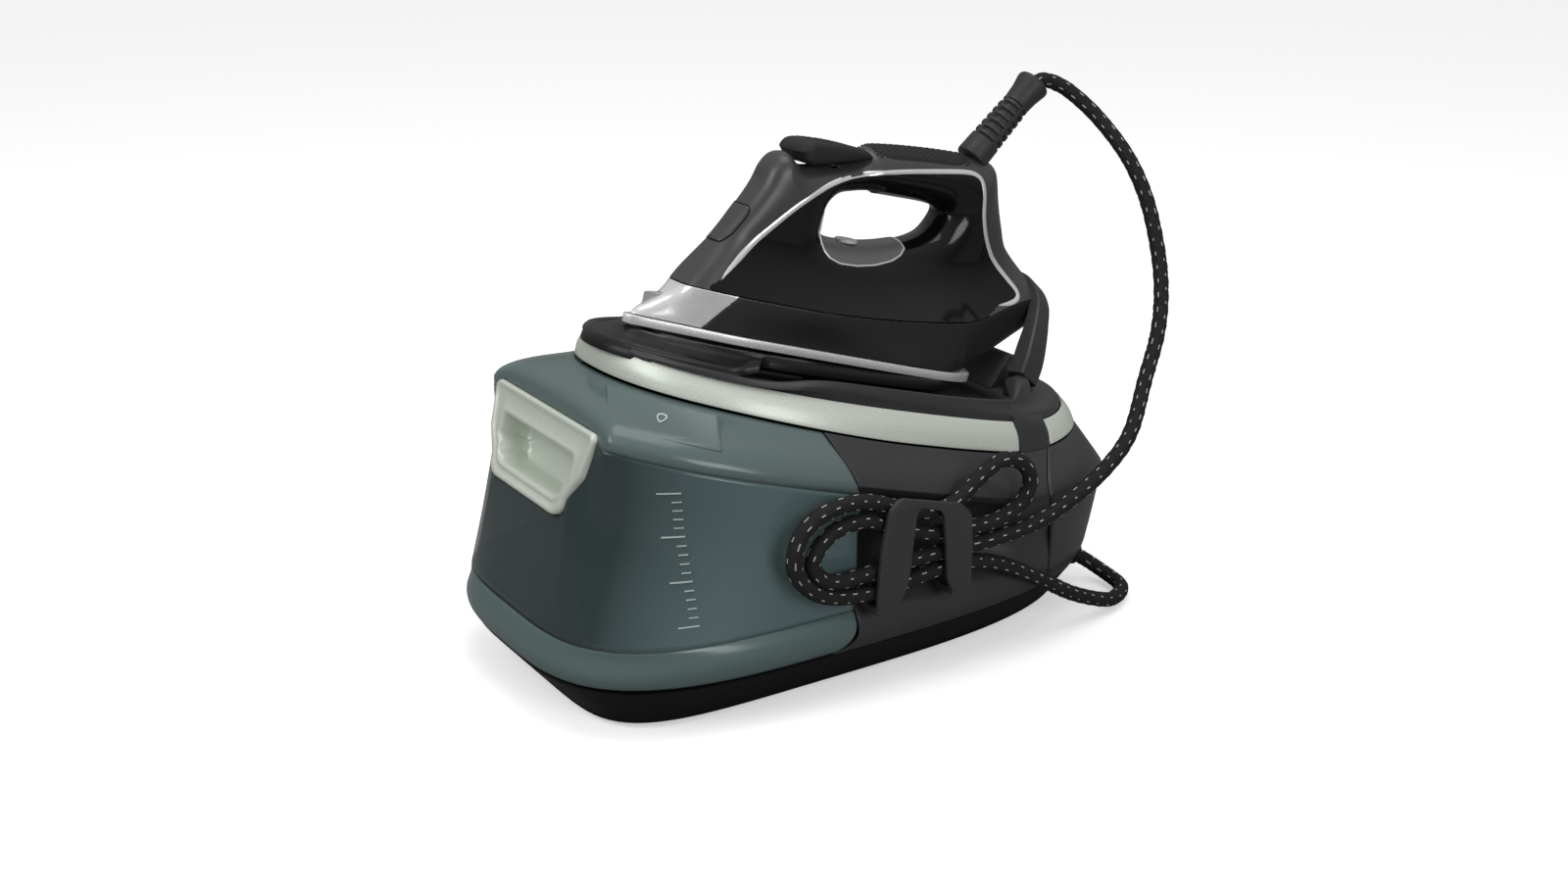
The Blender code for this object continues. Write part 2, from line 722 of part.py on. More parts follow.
def clip_plate(name, side):
    """The A-shaped plate that the cord is wound behind, on two posts that stand on the side panel."""
    outer = [(-35, 71), (46, 79), (50, 86), (49, 110), (42, 117), (-10, 133), (-20, 128)]
    inner = [(-4, 82), (26, 85), (23, 111), (2, 117)]
    count = 28

    def resample(points):
        loop = np.array(points + points[:1], float)
        length = np.concatenate([[0], np.cumsum(np.linalg.norm(np.diff(loop, axis=0), axis=1))])
        even = np.linspace(0, length[-1], count, endpoint=False)
        return np.stack([np.interp(even, length, loop[:, k]) for k in range(2)], 1)

    rings = [(resample(outer), CLIP_X), (resample(outer), CLIP_X + 3), (resample(inner), CLIP_X + 3)]
    rings.append((resample(inner), CLIP_X))
    verts = [(side * x, y, z) for ring, x in rings for y, z in ring]
    faces = []
    for r in range(4):
        for c in range(count):
            d = (c + 1) % count
            q = (r + 1) % 4
            faces.append((r * count + c, r * count + d, q * count + d, q * count + c))
    return add_mesh(name, verts, faces, "dark_grey", smooth=False)


def build_clips():
    for side, word in ((1, "right"), (-1, "left")):
        plate = clip_plate(f"cord_clip_{word}", side)
        plate_post = box(
            f"cord_clip_post_{word}",
            (min(side * 124.5, side * (CLIP_X + 1.5)), -7, 62),
            (max(side * 124.5, side * (CLIP_X + 1.5)), 34, 67.5),
            "dark_grey",
            edge=0,
        )
        rib = box(
            f"cord_clip_rib_{word}",
            (min(side * (CLIP_X + 0.4), side * (CLIP_X + 2.6)), -7, 64),
            (max(side * (CLIP_X + 0.4), side * (CLIP_X + 2.6)), 34, 78),
            "dark_grey",
            edge=0,
        )
        boolean(plate, as_cutter(plate_post), "UNION")
        boolean(plate, as_cutter(rib), "UNION")


def hose_lower_path():
    """From the rear outlet along the ground, wound twice behind the clip, and up to the split."""
    return [
        (58, 196, 26),
        (62, 211, 18),
        (78, 221, 9),
        (100, 219, 6),
        (114, 202, 7),
        (120, 184, 11),
        (125, 150, 26),
        (130, 115, 47),
        (137, 70, 72),
        (138, 35, 80),
        (138, -5, 77),
        (139, -45, 77),
        (140, -74, 86),
        (140, -90, 105),
        (140, -86, 126),
        (140, -68, 138),
        (139, -40, 139),
        (138, -10, 128),
        (138, 14, 121),
        (138, 33, 123),
        (139, 50, 135),
        (140, 68, 145),
        (140, 86, 140),
        (140, 94, 126),
        (139, 87, 111),
        (138, 68, 103),
        (138, 40, 103),
        (138, 14, 106),
        (138, -12, 114),
        (139, -38, 126),
        (140, -64, 123),
        (140, -77, 107),
        (140, -66, 92),
        (139, -42, 89.5),
        (138, -8, 91),
        (138, 30, 91),
        (139, 64, 91),
        (140, 100, 95),
        (139, 130, 104),
        (137, 162, 119),
        (131, 189, 138),
        (112, 215, 164),
        (97, 235, 195),
        (88.5, 248, 223),
    ]


def hose_upper_path():
    """From the split up and over into the boot at the rear of the handle."""
    return [
        (86.5, 250, 228),
        (76, 256, 252),
        (62, 257, 282),
        (45, 255, 310),
        (22, 247, 335),
        (8, 233, 351),
        (2, 221, 359),
        (0, 210, 361),
        (0, 199.5, 355),
        (0, 190, 346.5),
    ]


def cut_outlet(name, start, direction):
    """A round hole through the pan and the rear cover for a grommet."""
    aim = Vector(direction).normalized()
    start = Vector(start)
    cutter = as_cutter(cylinder(name, start - aim * 6, start + aim * 22, 10.4, "black"))
    for word in ("base_pan", "rear_cover"):
        boolean(bpy.data.objects[word], cutter, "DIFFERENCE")


def build_hoses():
    cut_outlet("hose_outlet_hole", HOSE_EXIT, (4, 16, -8))
    tube("steam_hose_lower", smooth_path(hose_lower_path(), 9.0), HOSE_RADIUS, "braid")
    tube("steam_hose_upper", smooth_path(hose_upper_path(), 8.0), HOSE_RADIUS, "braid")
    lathe(
        "hose_outlet",
        [(5.8, 0), (10, 0), (10, 5), (8.4, 7), (8.4, 14), (6.2, 14)],
        HOSE_EXIT,
        (4, 16, -8),
        "rubber",
    )


def lathe(name, profile, start, direction, finish, parent=None, segments=20):
    """A ring of revolution about an axis; the profile holds (radius, distance) pairs."""
    turn = Vector(direction).to_track_quat("Z", "Y")
    verts = []
    for radius, along in profile:
        for k in range(segments):
            a = 2 * math.pi * k / segments
            p = turn @ Vector((radius * math.cos(a), radius * math.sin(a), along)) + Vector(start)
            verts.append(tuple(p))
    count = len(profile)
    faces = []
    for r in range(count):
        q = (r + 1) % count
        for c in range(segments):
            d = (c + 1) % segments
            faces.append((r * segments + c, r * segments + d, q * segments + d, q * segments + c))
    return add_mesh(name, verts, faces, finish, parent)


def power_cord_path():
    """The mains cord, from its own grommet, wound once behind the left-hand clip, to its plug."""
    return [
        (-58, 196, 26),
        (-62, 212, 17),
        (-76, 224, 8),
        (-98, 222, 5),
        (-113, 205, 6),
        (-120, 180, 12),
        (-126, 148, 28),
        (-131, 112, 50),
        (-137, 72, 74),
        (-138, 30, 82),
        (-138, -10, 80),
        (-139, -48, 80),
        (-140, -74, 90),
        (-140, -86, 106),
        (-140, -80, 124),
        (-140, -60, 134),
        (-139, -34, 132),
        (-138, 0, 122),
        (-138, 36, 118),
        (-139, 66, 120),
    ]


def build_power_cord():
    cut_outlet("cord_outlet_hole", CORD_EXIT, (-4, 16, -8))
    tube("power_cord", smooth_path(power_cord_path(), 9.0), 3.6, "rubber")
    lathe(
        "cord_grommet",
        [(4.2, 0), (10, 0), (10, 5), (7, 7), (7, 15), (4.2, 15)],
        CORD_EXIT,
        (-4, 16, -8),
        "rubber",
    )
    plug = cylinder("mains_plug", (-139.2, 67, 120), (-139.6, 108, 122), 8.6, "black", edge=1.5)
    hole = as_cutter(cylinder("plug_hole", (-139, 60, 119.7), (-139.3, 78, 120.4), 4.0, "black"))
    boolean(plug, hole, "DIFFERENCE")
    for k, offset in ((1, 4.5), (2, -4.5)):
        pin = as_cutter(
            cylinder(f"plug_pin_{k}", (-139.5, 104, 122 + offset), (-139.8, 126, 123 + offset), 2.0, "brass")
        )
        boolean(plug, pin, "UNION")


# ---------------------------------------------------------------- base: internals


def build_internals():
    boiler = cylinder("boiler", (0, -10, 86), (0, 92, 86), 42, "aluminium", segments=32, edge=9)
    boiler.modifiers["edges"].segments = 3
    box("boiler_cradle", (-40, 6, 31), (40, 78, 42.5), "aluminium")
    cylinder("steam_valve", (0, 20, 128.6), (0, 20, 146), 9, "brass")
    box("pump", (-76, 104, 34), (-40, 164, 74), "black", edge=4)
    box("control_board", (-30, 112, 34), (46, 114, 88), "board", edge=0)
    box("transformer", (-2, 115, 36), (30, 136, 62), "black", edge=2)
    tube("feed_tube", smooth_path([(-58, 104, 80), (-58, 60, 84), (-52, 20, 80), (-45, 10, 78)], 9), 3, "silicone")
    tube(
        "steam_tube",
        smooth_path([(11.5, 21, 138), (40, 40, 136), (62, 90, 110), (66, 140, 60), (60, 168, 38), (57.5, 190, 28.5)], 10),
        3.5,
        "silicone",
    )
    tube(
        "suction_tube",
        smooth_path([(-110, -25.5, 46), (-110, 0, 44), (-107, 60, 44), (-98, 92, 47), (-87, 110, 50), (-80.5, 114, 50)], 10),
        3.0,
        "silicone",
    )
    lathe(
        "tank_socket",
        [(3.4, 0), (8, 0), (8, 13.5), (5.6, 13.5), (5.6, 6), (3.4, 6)],
        (-110, -26, 46),
        (0, -1, 0),
        "black",
    )


# ---------------------------------------------------------------- iron

SOLE = [(0, -3), (6, 0), (15, 22), (24, 45), (33, 70), (42, 115), (50, 160), (56, 200), (57, 225), (50, 245), (30, 259)]


def sole_half(shrink=0.0, slide=0.0):
    """The soleplate's +X outline, from tip to rear, moved in by shrink and back by slide at the tip."""
    points = smooth_path([(x, u, 0) for x, u in SOLE], 6.0)[:, :2]
    tangent = np.gradient(points, axis=0)
    tangent /= np.linalg.norm(tangent, axis=1)[:, None]
    moved = points + np.stack([-tangent[:, 1], tangent[:, 0]], 1) * shrink
    moved[:, 0] = np.maximum(moved[:, 0], 0)
    moved[:, 1] += slide * np.clip(1 - moved[:, 1] / 120, 0, 1)
    return moved


def iron_outline(shrink=0.0):
    half = sole_half(shrink)
    half[0, 0] = 0
    keep = [tuple(p) for p in half if p[0] > 0.3]
    nose = (0.0, float(half[:, 1].min()))
    tail = (0.0, float(half[:, 1].max()) + 0.8)
    return [nose] + keep + [tail] + [(-x, y) for x, y in reversed(keep)]


def ring_shell(name, rings, finish, cap_top=True, wall=2.4):
    count = len(rings[0])
    faces = grid_faces(len(rings), count, wrap=True)
    if cap_top:
        faces.append(tuple(range((len(rings) - 1) * count, len(rings) * count)))
    made = add_mesh(name, [p for ring in rings for p in ring], faces, finish, IRON_STAND)
    if wall:
        solidify(made, wall)
    return made


def profile_plate(name, points, half_width, finish, edge=0.0, holes=()):
    """A plate in the iron's upright middle plane: (u, v) points, extruded to both sides."""
    curve = bpy.data.curves.new(name, "CURVE")
    curve.dimensions = "2D"
    curve.fill_mode = "BOTH"
    curve.extrude = half_width * MM
    for loop in (points, *holes):
        spline = curve.splines.new("POLY")
        spline.points.add(len(loop) - 1)
        for point, (u, v) in zip(spline.points, loop):
            point.co = (u * MM, v * MM, 0, 1)
        spline.use_cyclic_u = True
    made = bpy.data.objects.new(name + "_curve", curve)
    MODEL.objects.link(made)
    plate = curve_to_mesh(made, name, finish, IRON_STAND, edge)
    plate.rotation_euler = (math.pi / 2, 0, math.pi / 2)
    return plate


def build_iron():
    outline_plate("soleplate", iron_outline(), 2.0, "steel", IRON_STAND, edge=0.5).location = (0, 0, 2.5 * MM)
    heater = outline_plate("heater_casting", iron_outline(10), 8.0, "aluminium", IRON_STAND, edge=2.0)
    heater.location = (0, 0, 13.2 * MM)
    cylinder("thermostat", (0, 150, 21.8), (0, 150, 31), 11, "brass", IRON_STAND)
    rings = []
    for shrink, v, back in ((2.0, 5.2, 0.0), (-0.6, 22, 6), (0.8, 33.0, 18)):
        half = sole_half(shrink)
        rear = np.clip((half[:, 1] - 150) / 110, 0, 1)
        half[:, 1] += back * 2.2 * rear**2
        half[:, 1] += back * 1.15 * np.clip(1 - half[:, 1] / 100, 0, 1)
        half[:, 0] *= 1 - 0.12 * rear**2 * (back > 0)
        keep = [tuple(p) for p in half if p[0] > 0.8]
        rings.append((keep, v))
    count = min(len(k) for k, _ in rings)
    skirt = []
    for keep, v in rings:
        pts = keep[len(keep) - count :]
        loop = [(x, u, v) for x, u in pts] + [(-x, u, v) for x, u in reversed(pts)]
        skirt.append(loop)
    body = ring_shell("iron_skirt", skirt, "dark_grey", cap_top=False, wall=2.2)
    nose_cut = as_cutter(box("nose_cut", (-60, -30, -10), (60, 39.6, 60), "steel", IRON_STAND, edge=0))
    boolean(body, nose_cut, "DIFFERENCE")
    nose = ring_shell("nose_plate", skirt, "silver", cap_top=False, wall=2.0)
    rear_cut = as_cutter(box("nose_rear_cut", (-80, 39, -10), (80, 400, 60), "steel", IRON_STAND, edge=0))
    boolean(nose, rear_cut, "DIFFERENCE")
    dome = [
        [(x * wide, 165 + (u - 165) * long + back, v) for x, u, _ in skirt[2]]
        for v, wide, long, back in ((36.0, 0.99, 0.98, 1), (48, 0.84, 0.92, 4), (60, 0.6, 0.88, 8), (65, 0.4, 0.84, 9))
    ]
    upper = ring_shell("iron_body", dome, "gloss_black", cap_top=True, wall=2.4)
    web = as_cutter(profile_plate("handle_web", HANDLE_PROFILE, 20.0, "gloss_black", 7.0, (HANDLE_HOLE,)))
    boolean(upper, web, "UNION")
    trigger_slot = as_cutter(box("trigger_slot", (-8, 122, 104), (8, 164, 124), "black", IRON_STAND, edge=0))
    boolean(upper, trigger_slot, "DIFFERENCE")
    profile_plate("steam_trigger", [(124, 104), (128, 107), (160, 113), (162, 116), (160, 119), (128, 113)], 7.4, "black")
    profile_plate(
        "thumb_lever",
        [(84, 130.5), (87, 135), (96, 138), (130, 138.5), (141, 137), (142, 134), (130, 132.5), (90, 130)],
        13.0,
        "black",
        0.8,
    )
    profile_plate("nose_cover", [(38.5, 62), (36.5, 63.2), (49.5, 85.5), (51.5, 84)], 9.0, "dark_grey", 0.4)
    profile_plate("grip_pad", [(150, 143.4), (150, 146), (188, 150.4), (232, 152.4), (232, 150.2), (188, 148)], 12.0, "black")
    pad = profile_plate(
        "control_pad",
        [(124, 67.8), (126, 70.2), (158, 71.2), (190, 77), (191, 75), (158, 68.6), (128, 67.4)],
        18.0,
        "black",
    )
    pocket = as_cutter(cylinder("badge_pocket", (4, 150, 60), (4, 150, 80), 8.4, "black", IRON_STAND))
    boolean(pad, pocket, "DIFFERENCE")
    cylinder("pad_button", (4, 150, 68.9), (4, 150, 72.4), 8.0, "silver", IRON_STAND, edge=0.5)
    seat = Vector(BOOT_FOOT)
    aim = Vector(BOOT_AIM).normalized()
    socket = as_cutter(cylinder("boot_socket", seat - aim * 2, seat + aim * 14, 11.0, "black"))
    boolean(upper, socket, "DIFFERENCE")
    for side, word in ((1, "right"), (-1, "left")):
        line = [(x * side, u, v) for x, u, v in ACCENT_LINE]
        tube(f"accent_strip_{word}", smooth_path(line, 7), 0.9, "silver", IRON_STAND, sides=1)


HANDLE_PROFILE = [
    (38, 42),
    (47, 58),
    (60, 80),
    (72, 101),
    (78, 115),
    (88, 124),
    (96, 126.5),
    (140, 128.5),
    (150, 142),
    (188, 146.5),
    (236, 148.5),
    (256, 147),
    (265, 125),
    (276, 95),
    (292, 78),
    (300, 66),
    (288, 46),
]
HANDLE_HOLE = [
    (112, 82),
    (114, 98),
    (123, 109),
    (148, 115),
    (200, 117),
    (218, 114),
    (225, 104),
    (221, 90),
    (208, 80),
    (190, 73),
    (158, 67),
    (128, 66),
    (115, 71),
]
ACCENT_LINE = [
    (21.4, 64, 90),
    (21.4, 88, 104),
    (21.4, 108, 115),
    (21.4, 132, 122),
    (21.4, 173, 133),
    (21.4, 224, 139),
    (21.4, 238, 138),
    (21.4, 247, 122),
    (21.4, 258, 103),
    (21.4, 272, 88),
]


def build_boot():
    """The ribbed strain relief at the rear of the handle."""
    profile = [(5.7, 0), (10.5, 0), (10.5, 12)]
    for k in range(5):
        along = 15 + 6 * k
        profile += [(8.6, along - 1.5), (8.6, along), (10.0, along + 1), (10.0, along + 3)]
    profile += [(8.6, 44), (9.2, 51), (11.6, 66), (11.8, 72), (8.6, 72), (5.7, 60)]
    lathe("hose_boot", profile, BOOT_FOOT, BOOT_AIM, "black")


BOOT_FOOT = (0, 147.5, 309.2)
BOOT_AIM = (0, 0.752, 0.66)

# ---------------------------------------------------------------- run

clear_scene()
MODEL = new_collection("steam_generator_iron")
CUTTERS = new_collection("cutters")
IRON_STAND = bpy.data.objects.new("iron_stand", None)
MODEL.objects.link(IRON_STAND)
IRON_STAND.location = [c * MM for c in TIP]
IRON_STAND.rotation_euler = (-TILT, 0, 0)

build_pan()
build_side_panels()
build_rear_cover()
build_trim()
build_deck()
build_iron_rest()
build_core()
build_tank()
build_flap()
build_tank_handle()
build_hoop()
build_control_panel()
build_clips()
build_hoses()
build_power_cord()
build_internals()
build_iron()
build_boot()

for placed in list(MODEL.objects) + list(CUTTERS.objects):
    if placed.parent is None:
        placed.location.y += ORIGIN_SHIFT_Y * MM
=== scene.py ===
"""Looks for the steam generator iron: a base with a slide-out tank, and a steam iron on its rest."""

import math

import bmesh
import bpy
import json
import numpy as np
from mathutils import Matrix, Vector

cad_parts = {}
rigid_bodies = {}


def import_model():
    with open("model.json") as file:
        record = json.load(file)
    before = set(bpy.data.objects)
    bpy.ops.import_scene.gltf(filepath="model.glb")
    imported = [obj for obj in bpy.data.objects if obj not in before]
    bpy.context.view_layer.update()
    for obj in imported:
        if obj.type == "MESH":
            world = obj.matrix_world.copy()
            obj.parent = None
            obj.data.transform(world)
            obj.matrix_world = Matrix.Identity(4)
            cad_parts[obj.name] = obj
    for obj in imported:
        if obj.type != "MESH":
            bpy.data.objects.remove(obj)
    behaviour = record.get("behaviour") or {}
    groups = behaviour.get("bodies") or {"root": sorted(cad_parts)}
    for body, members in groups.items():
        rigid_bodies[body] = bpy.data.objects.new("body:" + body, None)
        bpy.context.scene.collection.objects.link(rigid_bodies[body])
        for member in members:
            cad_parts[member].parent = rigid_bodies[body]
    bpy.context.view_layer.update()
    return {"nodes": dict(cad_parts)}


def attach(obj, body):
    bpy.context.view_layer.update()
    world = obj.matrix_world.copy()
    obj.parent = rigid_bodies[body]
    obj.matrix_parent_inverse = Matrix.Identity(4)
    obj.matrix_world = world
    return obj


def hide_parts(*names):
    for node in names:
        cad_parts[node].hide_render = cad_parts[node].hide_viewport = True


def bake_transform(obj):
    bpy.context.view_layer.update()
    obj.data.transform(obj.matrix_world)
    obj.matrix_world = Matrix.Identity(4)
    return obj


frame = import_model()

MM = 0.001
SHIFT_Y = -16.55  # the row's origin lies this far from the one the dimensions below use
TILT = math.radians(16.0)
TIP = np.array([0.0, -125.0, 235.0])

# ---------------------------------------------------------------- numeric helpers


def spline(points, count=None, step=None, closed=False):
    """Evenly spaced points on the Catmull-Rom curve through the given points."""
    pts = np.array(points, float)
    if closed:
        ends = np.vstack([pts[-1], pts, pts[:2]])
    else:
        ends = np.vstack([2 * pts[0] - pts[1], pts, 2 * pts[-1] - pts[-2]])
    dense = []
    for a, b, c, d in zip(ends, ends[1:], ends[2:], ends[3:]):
        t = np.linspace(0, 1, 20, endpoint=False)[:, None]
        dense.append(
            0.5 * (2 * b + (c - a) * t + (2 * a - 5 * b + 4 * c - d) * t**2 + (3 * b - a - 3 * c + d) * t**3),
        )
    dense = np.vstack(dense + [pts[:1] if closed else pts[-1:]])
    length = np.concatenate([[0], np.cumsum(np.linalg.norm(np.diff(dense, axis=0), axis=1))])
    count = count or max(2, int(length[-1] / step) + 1)
    even = np.linspace(0, length[-1], count, endpoint=not closed)
    return np.stack([np.interp(even, length, dense[:, k]) for k in range(pts.shape[1])], 1)


def smoothstep(x, low, high):
    t = np.clip((x - low) / (high - low), 0, 1)
    return t * t * (3 - 2 * t)


def smooth_max(a, b, blend):
    """The larger of a and b, rounded where they cross."""
    return 0.5 * (a + b + np.sqrt((a - b) ** 2 + blend**2))


def round_max(a, b, radius):
    """The larger of a and b, with a fillet of the given radius where they cross."""
    h = np.maximum(radius - np.abs(a - b), 0) / radius
    return np.maximum(a, b) + h * h * radius * 0.25


def polygon_distance(loop, u, v):
    """Signed distance from points to a closed loop, negative inside."""
    a = loop
    b = np.roll(loop, -1, axis=0)
    px, py = u.ravel(), v.ravel()
    best = np.full(px.shape, 1e9)
    inside = np.zeros(px.shape, bool)
    for (ax, ay), (bx, by) in zip(a, b):
        ex, ey = bx - ax, by - ay
        wx, wy = px - ax, py - ay
        t = np.clip((wx * ex + wy * ey) / (ex * ex + ey * ey + 1e-12), 0, 1)
        best = np.minimum(best, (wx - ex * t) ** 2 + (wy - ey * t) ** 2)
        if ay != by:
            cross = (ay > py) != (by > py)
            inside ^= cross & (px < ex * (py - ay) / (by - ay) + ax)
    distance = np.sqrt(best)
    return np.where(inside, -distance, distance).reshape(u.shape)


def bilinear(grid, low, step, u, v):
    """A grid's values between its points."""
    a = np.clip((u - low[0]) / step, 0, grid.shape[0] - 1.001)
    b = np.clip((v - low[1]) / step, 0, grid.shape[1] - 1.001)
    i, j = a.astype(int), b.astype(int)
    fa, fb = a - i, b - j
    return (
        grid[i, j] * (1 - fa) * (1 - fb)
        + grid[i + 1, j] * fa * (1 - fb)
        + grid[i, j + 1] * (1 - fa) * fb
        + grid[i + 1, j + 1] * fa * fb
    )


def bisect(inside, solid, empty, rounds):
    """Closes in on the border between a value inside the solid and one outside it."""
    for _ in range(rounds):
        middle = (solid + empty) / 2
        hit = inside(middle)
        solid, empty = np.where(hit, middle, solid), np.where(hit, empty, middle)
    return solid, empty


def surface_nets(values, low, cell):
    """Vertices and quads of the zero surface of a grid of values, by naive surface nets."""
    inside = values < 0
    shape = np.array(values.shape) - 1
    total = np.zeros(tuple(shape) + (3,))
    hits = np.zeros(tuple(shape))
    corner = [(i, j, k) for i in (0, 1) for j in (0, 1) for k in (0, 1)]

    def part(grid, c):
        return grid[c[0] : c[0] + shape[0], c[1] : c[1] + shape[1], c[2] : c[2] + shape[2]]

    for a in corner:
        for axis in range(3):
            if a[axis]:
                continue
            b = list(a)
            b[axis] = 1
            va, vb = part(values, a), part(values, b)
            cross = part(inside, a) != part(inside, b)
            t = np.where(cross, va / np.where(cross, va - vb, 1), 0)
            for k in range(3):
                total[..., k] += np.where(cross, a[k] + (t if k == axis else 0), 0)
            hits += cross
    active = hits > 0
    index = -np.ones(tuple(shape), int)
    index[active] = np.arange(active.sum())
    cells = np.argwhere(active)
    verts = low + (cells + total[active] / hits[active][:, None]) * cell
    quads = []
    for axis in range(3):
        b, c = [k for k in range(3) if k != axis]
        one = [slice(0, n) for n in values.shape]
        two = [slice(0, n) for n in values.shape]
        one[axis], two[axis] = slice(0, -1), slice(1, None)
        for k in (b, c):
            one[k] = slice(1, -1)
            two[k] = slice(1, -1)
        first, second = inside[tuple(one)], inside[tuple(two)]
        for flip, mask in ((False, first & ~second), (True, ~first & second)):
            at = np.argwhere(mask)
            if not len(at):
                continue
            at[:, b] += 1
            at[:, c] += 1
            ring = []
            for db, dc in ((-1, -1), (0, -1), (0, 0), (-1, 0)):
                p = at.copy()
                p[:, b] += db
                p[:, c] += dc
                ring.append(index[p[:, 0], p[:, 1], p[:, 2]])
            quad = np.stack(ring, 1)
            turned = flip != (axis == 1)
            quads.append(quad[:, ::-1] if turned else quad)
    return verts, np.vstack(quads)


def settle(verts, field, steps=3, delta=0.35):
    """Moves vertices onto the field's zero surface."""
    for _ in range(steps):
        value = field(verts)
        grad = np.stack(
            [
                (field(verts + np.eye(3)[k] * delta) - field(verts - np.eye(3)[k] * delta)) / (2 * delta)
                for k in range(3)
            ],
            1,
        )
        size = np.maximum((grad**2).sum(1), 0.35)
        verts = verts - grad * (np.clip(value, -1.5, 1.5) / size)[:, None]
    return verts


# ---------------------------------------------------------------- objects


def new_object(
    name, verts_mm, faces, finish, body, replaces=(), slot=None, iron=False, smooth=40, materials=None,
):
    """A mesh piece from points in millimetres, riding on a body."""
    pts = np.asarray(verts_mm, float)
    if iron:
        pts = from_iron(pts)
    pts = (pts + [0, SHIFT_Y, 0]) * MM
    mesh = bpy.data.meshes.new(name)
    mesh.from_pydata(pts.tolist(), [], [tuple(int(i) for i in f) for f in faces])
    mesh.validate()
    for one in materials or [finish]:
        mesh.materials.append(one)
    obj = bpy.data.objects.new(name, mesh)
    bpy.context.scene.collection.objects.link(obj)
    work = bmesh.new()
    work.from_mesh(mesh)
    bmesh.ops.remove_doubles(work, verts=work.verts, dist=2e-6)
    bmesh.ops.recalc_face_normals(work, faces=work.faces)
    work.to_mesh(mesh)
    work.free()
    if smooth:
        mesh.shade_smooth()
        mesh.set_sharp_from_angle(angle=math.radians(smooth))
    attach(obj, body)
    if replaces:
        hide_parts(*replaces)
    return obj


def from_iron(points):
    """Iron frame (x, u back, v up) to the base's frame, in millimetres."""
    c, s = math.cos(TILT), math.sin(TILT)
    x, u, v = points[:, 0], points[:, 1], points[:, 2]
    return TIP + np.stack([x, u * c + v * s, -u * s + v * c], 1)


def grid_faces(rows, columns, wrap=False):
    faces = []
    for r in range(rows - 1):
        for c in range(columns if wrap else columns - 1):
            d = (c + 1) % columns
            faces.append((r * columns + c, r * columns + d, (r + 1) * columns + d, (r + 1) * columns + c))
    return faces


def tube_faces(rows, columns):
    """The faces of a closed tube of rings, with both ends filled."""
    last = (rows - 1) * columns
    return grid_faces(rows, columns, wrap=True) + [tuple(range(columns)), tuple(range(last, last + columns))]


def sheet_faces(rows, columns):
    """The faces of a closed sheet: a top grid, a bottom grid after it, and the strip between their rims."""
    count = rows * columns
    top = grid_faces(rows, columns)
    right = [r * columns + columns - 1 for r in range(1, rows)]
    far = [(rows - 1) * columns + c for c in range(columns - 2, -1, -1)]
    rim = list(range(columns)) + right + far + [r * columns for r in range(rows - 2, 0, -1)]
    strip = [(a, b, b + count, a + count) for a, b in zip(rim, rim[1:] + rim[:1])]
    return top + [tuple(count + i for i in f[::-1]) for f in top] + strip, rim


def thicken(obj, thickness, edge=0.35, outward=None, segments=2):
    """Gives an open casing a wall inside it and small rounded edges."""
    mesh = obj.data
    if outward is not None:
        centre = np.array(outward, float) * MM
        total = 0.0
        for face in mesh.polygons:
            total += face.area * float(np.dot(np.array(face.normal), np.array(face.center) - centre))
        if total < 0:
            mesh.flip_normals()
    shell = obj.modifiers.new("wall", "SOLIDIFY")
    shell.thickness = thickness * MM
    shell.offset = -1
    shell.use_even_offset = True
    if edge:
        bevel(obj, edge, segments)
    return obj


def bevel(obj, width, segments=2, angle=50):
    edge = obj.modifiers.new("edges", "BEVEL")
    edge.width = width * MM
    edge.segments = segments
    edge.limit_method = "ANGLE"
    edge.angle_limit = math.radians(angle)
    edge.harden_normals = False
    return obj


def cut(obj, cutter):
    """Cuts one closed mesh out of another and drops the cutter."""
    tool = obj.modifiers.new("cut", "BOOLEAN")
    tool.operation = "DIFFERENCE"
    tool.solver = "EXACT"
    tool.object = cutter
    graph = bpy.context.evaluated_depsgraph_get()
    made = bpy.data.meshes.new_from_object(obj.evaluated_get(graph))
    obj.modifiers.clear()
    obj.data = made
    bpy.data.objects.remove(cutter)
    return obj


# ---------------------------------------------------------------- finishes


def fill(made, **inputs):
    for key, value in inputs.items():
        made.inputs[key.replace("_", " ")].default_value = value
    return made


def node(tree, kind, **inputs):
    return fill(tree.nodes.new(kind), **inputs)


def scaled(tree, colour, factor, **span):
    """A colour, or the output of a node, scaled by another output mapped to the given span."""
    level = node(tree, "ShaderNodeMapRange", **span)
    tree.links.new(factor, level.inputs["Value"])
    product = node(tree, "ShaderNodeVectorMath")
    product.operation = "SCALE"
    if isinstance(colour, tuple):
        product.inputs[0].default_value = colour
    else:
        tree.links.new(colour, product.inputs[0])
    tree.links.new(level.outputs["Result"], product.inputs["Scale"])
    return product.outputs["Vector"]


# painted light: the X span, in metres, over which a wall's base colour is brightened towards the side lamp
SIDE_LIGHT_PAINT_FROM, SIDE_LIGHT_PAINT_TO = 0.085, 0.122


